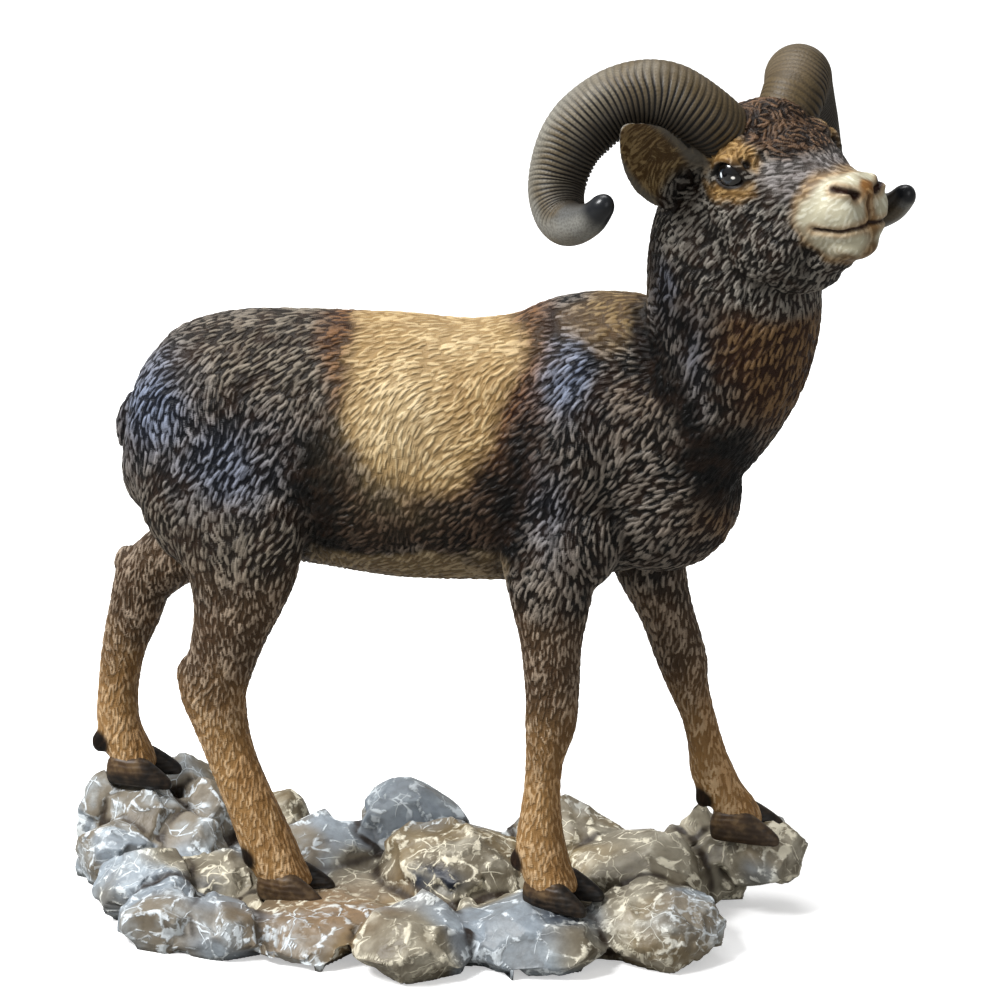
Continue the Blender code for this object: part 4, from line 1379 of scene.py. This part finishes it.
class Paint:
    """A material under construction, with short ways to add its nodes."""

    def __init__(self, name):
        self.material = bpy.data.materials.new(name)
        self.material.use_nodes = True
        self.tree = self.material.node_tree
        self.surface = self.tree.nodes["Principled BSDF"]
        self.place = self.tree.nodes.new("ShaderNodeTexCoord").outputs["Object"]

    def put(self, socket, value):
        """A link, a plain value, or nothing, into a socket."""
        if isinstance(value, bpy.types.NodeSocket):
            self.tree.links.new(value, socket)
        elif value is not None:
            socket.default_value = value

    def attribute(self, name, output="Fac"):
        """What the mesh stores under a name."""
        node = self.tree.nodes.new("ShaderNodeAttribute")
        node.attribute_name = name
        return node.outputs[output]

    def math(self, kind, a, b=None):
        node = self.tree.nodes.new("ShaderNodeMath")
        node.operation = kind
        self.put(node.inputs[0], a)
        self.put(node.inputs[1], b)
        return node.outputs[0]

    def times(self, a, b):
        return self.math("MULTIPLY", a, b)

    def mix(self, share, a, b):
        """Colour a, or colour b where the share is 1."""
        node = self.tree.nodes.new("ShaderNodeMix")
        node.data_type = "RGBA"
        self.put(node.inputs[0], share)
        self.put(node.inputs[6], a)
        self.put(node.inputs[7], b)
        return node.outputs[2]

    def smooth(self, value, low, high, out_low=0.0, out_high=1.0):
        """A soft step from one value to another."""
        node = self.tree.nodes.new("ShaderNodeMapRange")
        node.interpolation_type = "SMOOTHSTEP"
        self.put(node.inputs[0], value)
        for socket, number in zip(node.inputs[1:5], (low, high, out_low, out_high)):
            socket.default_value = number
        return node.outputs[0]

    def noise(self, size, detail=2.0, place=None):
        """Noise with bumps of that size in millimetres."""
        node = self.tree.nodes.new("ShaderNodeTexNoise")
        self.put(node.inputs["Vector"], place or self.place)
        node.inputs["Scale"].default_value = 1 / (size * MM)
        node.inputs["Detail"].default_value = detail
        return node.outputs["Fac"]

    def combed(self, size, stretch, samples=5):
        """Noise drawn out along the flow that is stored on the mesh."""
        flow = self.attribute("flow", "Vector")
        total = None
        for k in range(samples):
            scale = self.tree.nodes.new("ShaderNodeVectorMath")
            scale.operation = "SCALE"
            self.put(scale.inputs[0], flow)
            scale.inputs["Scale"].default_value = stretch * MM * (k / (samples - 1) - 0.5)
            add = self.tree.nodes.new("ShaderNodeVectorMath")
            self.put(add.inputs[0], self.place)
            self.put(add.inputs[1], scale.outputs[0])
            value = self.noise(size, 0.0, add.outputs[0])
            total = value if total is None else self.math("ADD", total, value)
        return self.math("DIVIDE", total, float(samples))

    def cells(self, size, thin, soft):
        """Thin lines round warped cells of that size in millimetres."""
        warp = self.tree.nodes.new("ShaderNodeVectorMath")
        warp.operation = "MULTIPLY_ADD"
        noise = self.tree.nodes.new("ShaderNodeTexNoise")
        self.put(noise.inputs["Vector"], self.place)
        noise.inputs["Scale"].default_value = 1.1 / (size * MM)
        self.put(warp.inputs[0], noise.outputs["Color"])
        warp.inputs[1].default_value = (0.55 * size * MM,) * 3
        self.put(warp.inputs[2], self.place)
        node = self.tree.nodes.new("ShaderNodeTexVoronoi")
        node.feature = "DISTANCE_TO_EDGE"
        node.inputs["Scale"].default_value = 1 / (size * MM)
        self.put(node.inputs["Vector"], warp.outputs[0])
        return self.smooth(node.outputs["Distance"], soft, thin)

    def bump(self, height, depth):
        """A bumped normal, whose depth is in millimetres."""
        node = self.tree.nodes.new("ShaderNodeBump")
        node.inputs["Distance"].default_value = depth * MM
        self.put(node.inputs["Height"], height)
        return node.outputs[0]

    def finish(self, colour, roughness, normal=None, **values):
        """The material, with its surface's inputs set."""
        self.put(self.surface.inputs["Base Color"], colour)
        self.put(self.surface.inputs["Roughness"], roughness)
        self.put(self.surface.inputs["Normal"], normal)
        for label, value in values.items():
            self.surface.inputs[label.replace("_", " ")].default_value = value
        return self.material


# Colour in the valleys between the strokes and on their crests, for each painted zone in turn.
COAT_COLOURS = [
    ("taupe", (26, 20, 14), (124, 115, 102)),
    ("fringe", (40, 19, 6), (112, 78, 48)),
    ("umber", (9, 4, 2), (76, 61, 50)),
    ("withers", (74, 56, 32), (128, 107, 72)),
    ("russet", (40, 20, 6), (118, 92, 62)),
    # blue is painted sheen: cool reflected light over the dark coat.
    ("blue", (14, 19, 30), (124, 134, 156)),
    ("belly", (104, 88, 62), (160, 142, 112)),
    ("shadow", (1, 1, 1), (12, 11, 10)),
    ("saddle", (138, 111, 70), (190, 165, 122)),
    ("cream_patch", (164, 142, 104), (208, 189, 151)),
    ("leg", (62, 46, 30), (150, 133, 115)),
    ("tan", (142, 108, 66), (200, 169, 130)),
    ("sienna", (112, 78, 38), (170, 128, 80)),
    ("head", (20, 17, 14), (132, 127, 119)),
    ("bridge", (60, 56, 53), (128, 123, 121)),
    ("forelock", (18, 9, 4), (104, 80, 60)),
    ("ochre", (112, 84, 46), (172, 140, 92)),
    ("ear", (56, 53, 47), (118, 115, 106)),
    ("ear_inner", (70, 52, 28), (130, 110, 76)),
    ("tawny", (104, 82, 54), (152, 128, 94)),
    ("cream", (178, 173, 150), (208, 206, 187)),
    ("nose", (120, 82, 42), (166, 128, 80)),
    ("lips", (140, 106, 68), (178, 148, 110)),
    ("lid", (8, 6, 5), (16, 12, 10)),
    ("slit", (34, 16, 8), (46, 24, 13)),
    ("claw", (18, 12, 8), (40, 28, 20)),
]


def coat_paint():
    """Dark paint in the carved hair, dry brushed with lighter colour over the crests."""
    paint = Paint("painted_coat")
    fine = paint.combed(0.26, 1.1)
    hair = paint.times(paint.math("SUBTRACT", fine, 0.5), 1.5)
    crest = paint.math("ADD", paint.attribute("crest"), hair)
    toned = paint.math("ADD", crest, paint.times(paint.attribute("tone"), 0.14))
    patches = paint.noise(5.0, 3.0)
    toned = paint.math("ADD", toned, paint.smooth(patches, 0.3, 0.7, -0.16, 0.12))
    brushed = paint.smooth(toned, 0.12, 0.56)
    valley, top = rgb(9, 7, 5), rgb(122, 114, 105)
    for name, dark, light in COAT_COLOURS:
        share = paint.attribute(name)
        valley = paint.mix(share, valley, rgb(*dark))
        top = paint.mix(share, top, rgb(*light))
    top = paint.mix(paint.smooth(paint.attribute("tone"), -1.0, 1.0, 0.5, 0.0), top, valley)
    colour = paint.mix(brushed, valley, top)
    warm = paint.smooth(paint.noise(3.0, 2.0), 0.42, 0.66, 0.0, 0.3)
    # The warm tint fades where the blue painted sheen lies.
    warm = paint.times(warm, paint.smooth(paint.attribute("blue"), 0.0, 0.8, 1.0, 0.0))
    colour = paint.mix(warm, colour, paint.mix(0.5, colour, rgb(74, 48, 28)))
    # Painted shade: the coat darkened towards near black in its hollows, half as much on the head.
    hollow_shade = paint.smooth(paint.attribute("hollow"), 0.15, 0.9, 0.0, 0.75)
    hollow_shade = paint.times(hollow_shade, paint.smooth(paint.attribute("head"), 0.0, 1.0, 1.0, 0.5))
    colour = paint.mix(hollow_shade, colour, paint.mix(0.85, colour, rgb(6, 4, 3)))
    cracks = paint.cells(1.7, 0.02, 0.09)
    cracks = paint.times(cracks, paint.attribute("withers"))
    colour = paint.mix(paint.times(cracks, 0.4), colour, rgb(44, 34, 22))
    # Painted highlight: the ear's grey rim made paler where light catches its edge.
    ear_edge = paint.math("ABSOLUTE", paint.attribute("ear_side"))
    rim = paint.times(paint.smooth(ear_edge, 0.6, 0.86), paint.attribute("ear"))
    colour = paint.mix(paint.times(rim, 0.85), colour, rgb(96, 93, 86))
    streak = paint.times(paint.smooth(fine, 0.54, 0.64), paint.attribute("ear_inner"))
    colour = paint.mix(paint.times(streak, 0.4), colour, rgb(140, 126, 96))
    relief = paint.times(crest, paint.smooth(paint.attribute("bare"), 0.0, 1.0, 1.0, 0.1))
    normal = paint.bump(relief, 0.3)
    return paint.finish(colour, 0.46, normal, Specular_IOR_Level=0.17)


def horn_paint():
    """Taupe horn with painted shade in its grooves and on the inner face of its curl, and a slate black
    tip.
    """
    paint = Paint("painted_horn")
    along = paint.attribute("along")
    groove = paint.attribute("groove")
    fine = paint.combed(0.3, 2.4)
    inner = paint.attribute("inner")
    crest = paint.mix(paint.smooth(along, 0.1, 0.45), rgb(86, 72, 50), rgb(112, 104, 88))
    crest = paint.mix(paint.smooth(along, 0.6, 0.85), crest, rgb(84, 84, 82))
    crest = paint.mix(paint.smooth(paint.noise(5.0, 2.0), 0.4, 0.62, 0.0, 0.7), crest, rgb(80, 66, 40))
    grey = paint.times(paint.smooth(inner, 0.4, 0.1), paint.smooth(along, 0.35, 0.5))
    crest = paint.mix(paint.times(grey, 0.6), crest, rgb(142, 141, 134))
    # Painted shade: the inner face of the curl darkened.
    crest = paint.mix(paint.smooth(inner, 0.4, 0.85, 0.0, 0.85), crest, rgb(38, 33, 27))
    streak = paint.smooth(fine, 0.44, 0.58, 0.0, 0.3)
    crest = paint.mix(streak, crest, rgb(40, 34, 25))
    # Painted shade in the grooves between the rings: full on the inner face, a quarter as strong on the
    # outer one.
    inner_shade = paint.smooth(inner, 0.1, 0.5, 0.25, 1.0)
    dark = paint.times(paint.smooth(groove, 0.04, 0.42), inner_shade)
    colour = paint.mix(dark, crest, rgb(8, 5, 3))
    tip = paint.attribute("tip")
    colour = paint.mix(tip, colour, rgb(26, 28, 31))
    relief = paint.times(fine, paint.smooth(along, 0.85, 0.93, 1.0, 0.05))
    normal = paint.bump(relief, 0.1)
    rough = paint.smooth(along, 0.84, 0.93, 0.5, 0.28)
    return paint.finish(colour, rough, normal, Specular_IOR_Level=0.3)


def eye_paint():
    """A black eye with a blue grey iris and its painted lights."""
    paint = Paint("painted_eye")
    ahead, up = paint.attribute("ahead"), paint.attribute("up")

    def spot(a, b, radius_a, radius_b, soft):
        first = paint.math("DIVIDE", paint.math("SUBTRACT", ahead, a), radius_a)
        second = paint.math("DIVIDE", paint.math("SUBTRACT", up, b), radius_b)
        reach = paint.math("ADD", paint.math("POWER", first, 2.0), paint.math("POWER", second, 2.0))
        return paint.smooth(reach, 1.0 + soft, 1.0 - soft)

    colour = paint.mix(spot(-0.04, -0.06, 0.46, 0.4, 0.3), rgb(8, 6, 5), rgb(38, 46, 55))
    colour = paint.mix(spot(0.12, 0.04, 0.36, 0.34, 0.3), colour, rgb(8, 9, 12))
    # Two painted highlights: white glints of light on the glossy eye.
    colour = paint.mix(spot(-0.3, 0.02, 0.08, 0.15, 0.4), colour, rgb(232, 240, 246))
    colour = paint.mix(spot(0.44, -0.12, 0.1, 0.08, 0.4), colour, rgb(238, 236, 230))
    return paint.finish(colour, 0.16, Coat_Weight=0.35, Coat_Roughness=0.05)


def hoof_paint():
    """Nearly black horn with fine growth lines."""
    paint = Paint("painted_hoof")
    lines = paint.tree.nodes.new("ShaderNodeTexWave")
    lines.bands_direction = "Z"
    lines.inputs["Scale"].default_value = 380.0
    lines.inputs["Distortion"].default_value = 3.0
    paint.put(lines.inputs["Vector"], paint.place)
    worn = paint.smooth(paint.noise(1.2, 4.0), 0.4, 0.7, 0.0, 0.7)
    colour = paint.mix(worn, rgb(13, 10, 8), rgb(46, 36, 27))
    light = paint.mix(worn, rgb(68, 50, 32), rgb(112, 90, 62))
    # Paler where hair covers the hoof, and painted light on the near toes.
    colour = paint.mix(paint.attribute("pale"), colour, light)
    normal = paint.bump(lines.outputs["Fac"], 0.05)
    return paint.finish(colour, 0.42, normal, Specular_IOR_Level=0.3)


def rock_paint():
    """Grey stone with blue, olive and ochre washes, pale lines on the edges and painted shade in the
    recesses.
    """
    paint = Paint("painted_rock")
    hollow = paint.attribute("hollow")
    patches = paint.smooth(paint.noise(7.0, 3.0), 0.35, 0.65)
    colour = paint.mix(patches, rgb(98, 90, 74), rgb(138, 132, 116))
    bluish = paint.attribute("bluish")
    colour = paint.mix(paint.smooth(bluish, 0, 1, 0, 0.75), colour, rgb(138, 151, 164))
    colour = paint.mix(paint.smooth(paint.attribute("ochre"), 0, 1, 0, 0.7), colour, rgb(118, 100, 66))
    colour = paint.mix(paint.smooth(paint.attribute("chip"), 0.0, 0.9, 0, 0.4), colour, rgb(84, 72, 52))
    colour = paint.mix(paint.attribute("peach"), colour, rgb(136, 110, 80))
    colour = paint.mix(paint.smooth(paint.attribute("crystal"), 0.2, 0.6), colour, rgb(176, 168, 148))
    colour = paint.mix(paint.smooth(paint.attribute("dark_spots"), 0.15, 0.7), colour, rgb(28, 34, 46))
    frost = paint.smooth(paint.noise(5.0, 4.0), 0.42, 0.74, 0.0, 0.6)
    frost = paint.times(frost, paint.smooth(hollow, 0.1, -0.3))
    pale = paint.mix(bluish, rgb(202, 196, 178), rgb(192, 204, 212))
    colour = paint.mix(frost, colour, pale)
    grain = paint.smooth(paint.noise(1.2, 4.0), 0.4, 0.7, 0.0, 0.35)
    colour = paint.mix(grain, colour, paint.mix(0.6, colour, rgb(62, 52, 38)))
    # Painted shade: dark brown in the hollows between and on the stones.
    hollow_shade = paint.smooth(hollow, 0.0, 0.5, 0.0, 0.95)
    colour = paint.mix(hollow_shade, colour, rgb(34, 22, 10))
    broken = paint.smooth(paint.noise(1.6, 3.0), 0.44, 0.56)
    edge = paint.times(paint.smooth(paint.attribute("gap"), 0.6, 0.2), broken)
    web = paint.cells(4.6, 0.008, 0.028)
    web = paint.times(web, paint.smooth(paint.noise(5.0, 2.0), 0.5, 0.6))
    flakes = paint.smooth(paint.attribute("fine_gap"), 0.45, 0.15)
    flakes = paint.times(flakes, paint.attribute("rough"))
    flakes = paint.times(paint.times(flakes, broken), 0.45)
    lines = paint.math("MAXIMUM", paint.math("MAXIMUM", edge, web), flakes)
    lines = paint.times(lines, paint.smooth(hollow, 0.0, 0.4, 1.0, 0.05))
    thin = paint.mix(bluish, rgb(224, 217, 195), rgb(218, 226, 231))
    colour = paint.mix(paint.times(lines, 0.85), colour, thin)
    relief = paint.math("ADD", paint.noise(1.4, 4.0), paint.times(lines, 0.5))
    normal = paint.bump(relief, 0.22)
    return paint.finish(colour, 0.46, normal, Specular_IOR_Level=0.32)


# The studio.


def studio():
    """A pale floor, three soft lights with the strongest from above left, and the camera."""
    corners = np.array([(-1, -1, 0), (1, -1, 0), (1, 1, 0), (-1, 1, 0)])
    floor = made_object("floor", (corners * FLOOR_REACH / MM, [(0, 1, 2, 3)]))
    floor.location.z = -0.00002
    paint = Paint("pale_floor")
    tree = paint.tree
    shine = tree.nodes.new("ShaderNodeEmission")
    shine.inputs["Color"].default_value = (1, 1, 1, 1)
    shine.inputs["Strength"].default_value = 0.42
    add = tree.nodes.new("ShaderNodeAddShader")
    path = tree.nodes.new("ShaderNodeLightPath")
    choose = tree.nodes.new("ShaderNodeMixShader")
    paint.finish(rgb(238, 238, 238), 0.9, Specular_IOR_Level=0.0)
    dim = tree.nodes.new("ShaderNodeBsdfDiffuse")
    dim.inputs["Color"].default_value = rgb(150, 148, 144)
    tree.links.new(paint.surface.outputs[0], add.inputs[0])
    tree.links.new(shine.outputs[0], add.inputs[1])
    tree.links.new(path.outputs["Is Camera Ray"], choose.inputs[0])
    tree.links.new(dim.outputs[0], choose.inputs[1])
    tree.links.new(add.outputs[0], choose.inputs[2])
    tree.links.new(choose.outputs[0], tree.nodes["Material Output"].inputs["Surface"])
    floor.data.materials.append(paint.material)

    world = bpy.data.worlds.new("studio")
    world.use_nodes = True
    bpy.context.scene.world = world
    tree = world.node_tree
    back = tree.nodes["Background"]
    path = tree.nodes.new("ShaderNodeLightPath")
    strength = tree.nodes.new("ShaderNodeMapRange")
    tree.links.new(path.outputs["Is Camera Ray"], strength.inputs["Value"])
    strength.inputs["To Min"].default_value = 0.34
    strength.inputs["To Max"].default_value = 1.0
    tree.links.new(strength.outputs[0], back.inputs["Strength"])
    back.inputs["Color"].default_value = (1.0, 1.0, 1.0, 1.0)

    for name, place, width, power in LIGHTS:
        light = bpy.data.lights.new(name, "AREA")
        light.size = width
        light.energy = power
        lamp = bpy.data.objects.new(name, light)
        lamp.location = place
        lamp.rotation_euler = (Vector((0, 0, 0.06)) - Vector(place)).to_track_quat("-Z", "Y").to_euler()
        bpy.context.scene.collection.objects.link(lamp)

    target = Vector(DRAWING_CENTRE) * MM
    ahead = Vector(drawing_axes()[1])
    camera = bpy.data.objects.new("camera", bpy.data.cameras.new("camera"))
    bpy.context.scene.collection.objects.link(camera)
    camera.data.sensor_width = CAMERA_SENSOR
    camera.data.lens = CAMERA_LENS
    camera.data.clip_start = 0.01
    camera.location = target - ahead * DRAWING_DISTANCE * MM
    camera.rotation_euler = ahead.to_track_quat("-Z", "Y").to_euler()
    bpy.context.scene.camera = camera
    bpy.context.scene.view_settings.view_transform = "Standard"


def main():
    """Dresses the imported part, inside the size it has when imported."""
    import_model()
    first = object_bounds()
    low, high = (np.array(corner) / MM for corner in first)
    low, high = low + BOX_MARGIN, high - BOX_MARGIN
    low[2] = 0.0
    pieces = coat(low, high)
    horns = [horn(side, low, high) for side in (-1, 1)]
    eyes = [eye(side) for side in (-1, 1)]
    feet, stones = [hooves()], [rocks(low, high)]
    paints = [horn_paint(), eye_paint(), hoof_paint(), rock_paint()]
    for group, paint in zip((horns, eyes, feet, stones), paints):
        for piece in group:
            piece.data.materials.append(paint)
    pieces += [*horns, *eyes, *feet, *stones]
    for piece in pieces:
        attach(piece, "root")
        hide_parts("mouflon_figure")
    studio()


main()
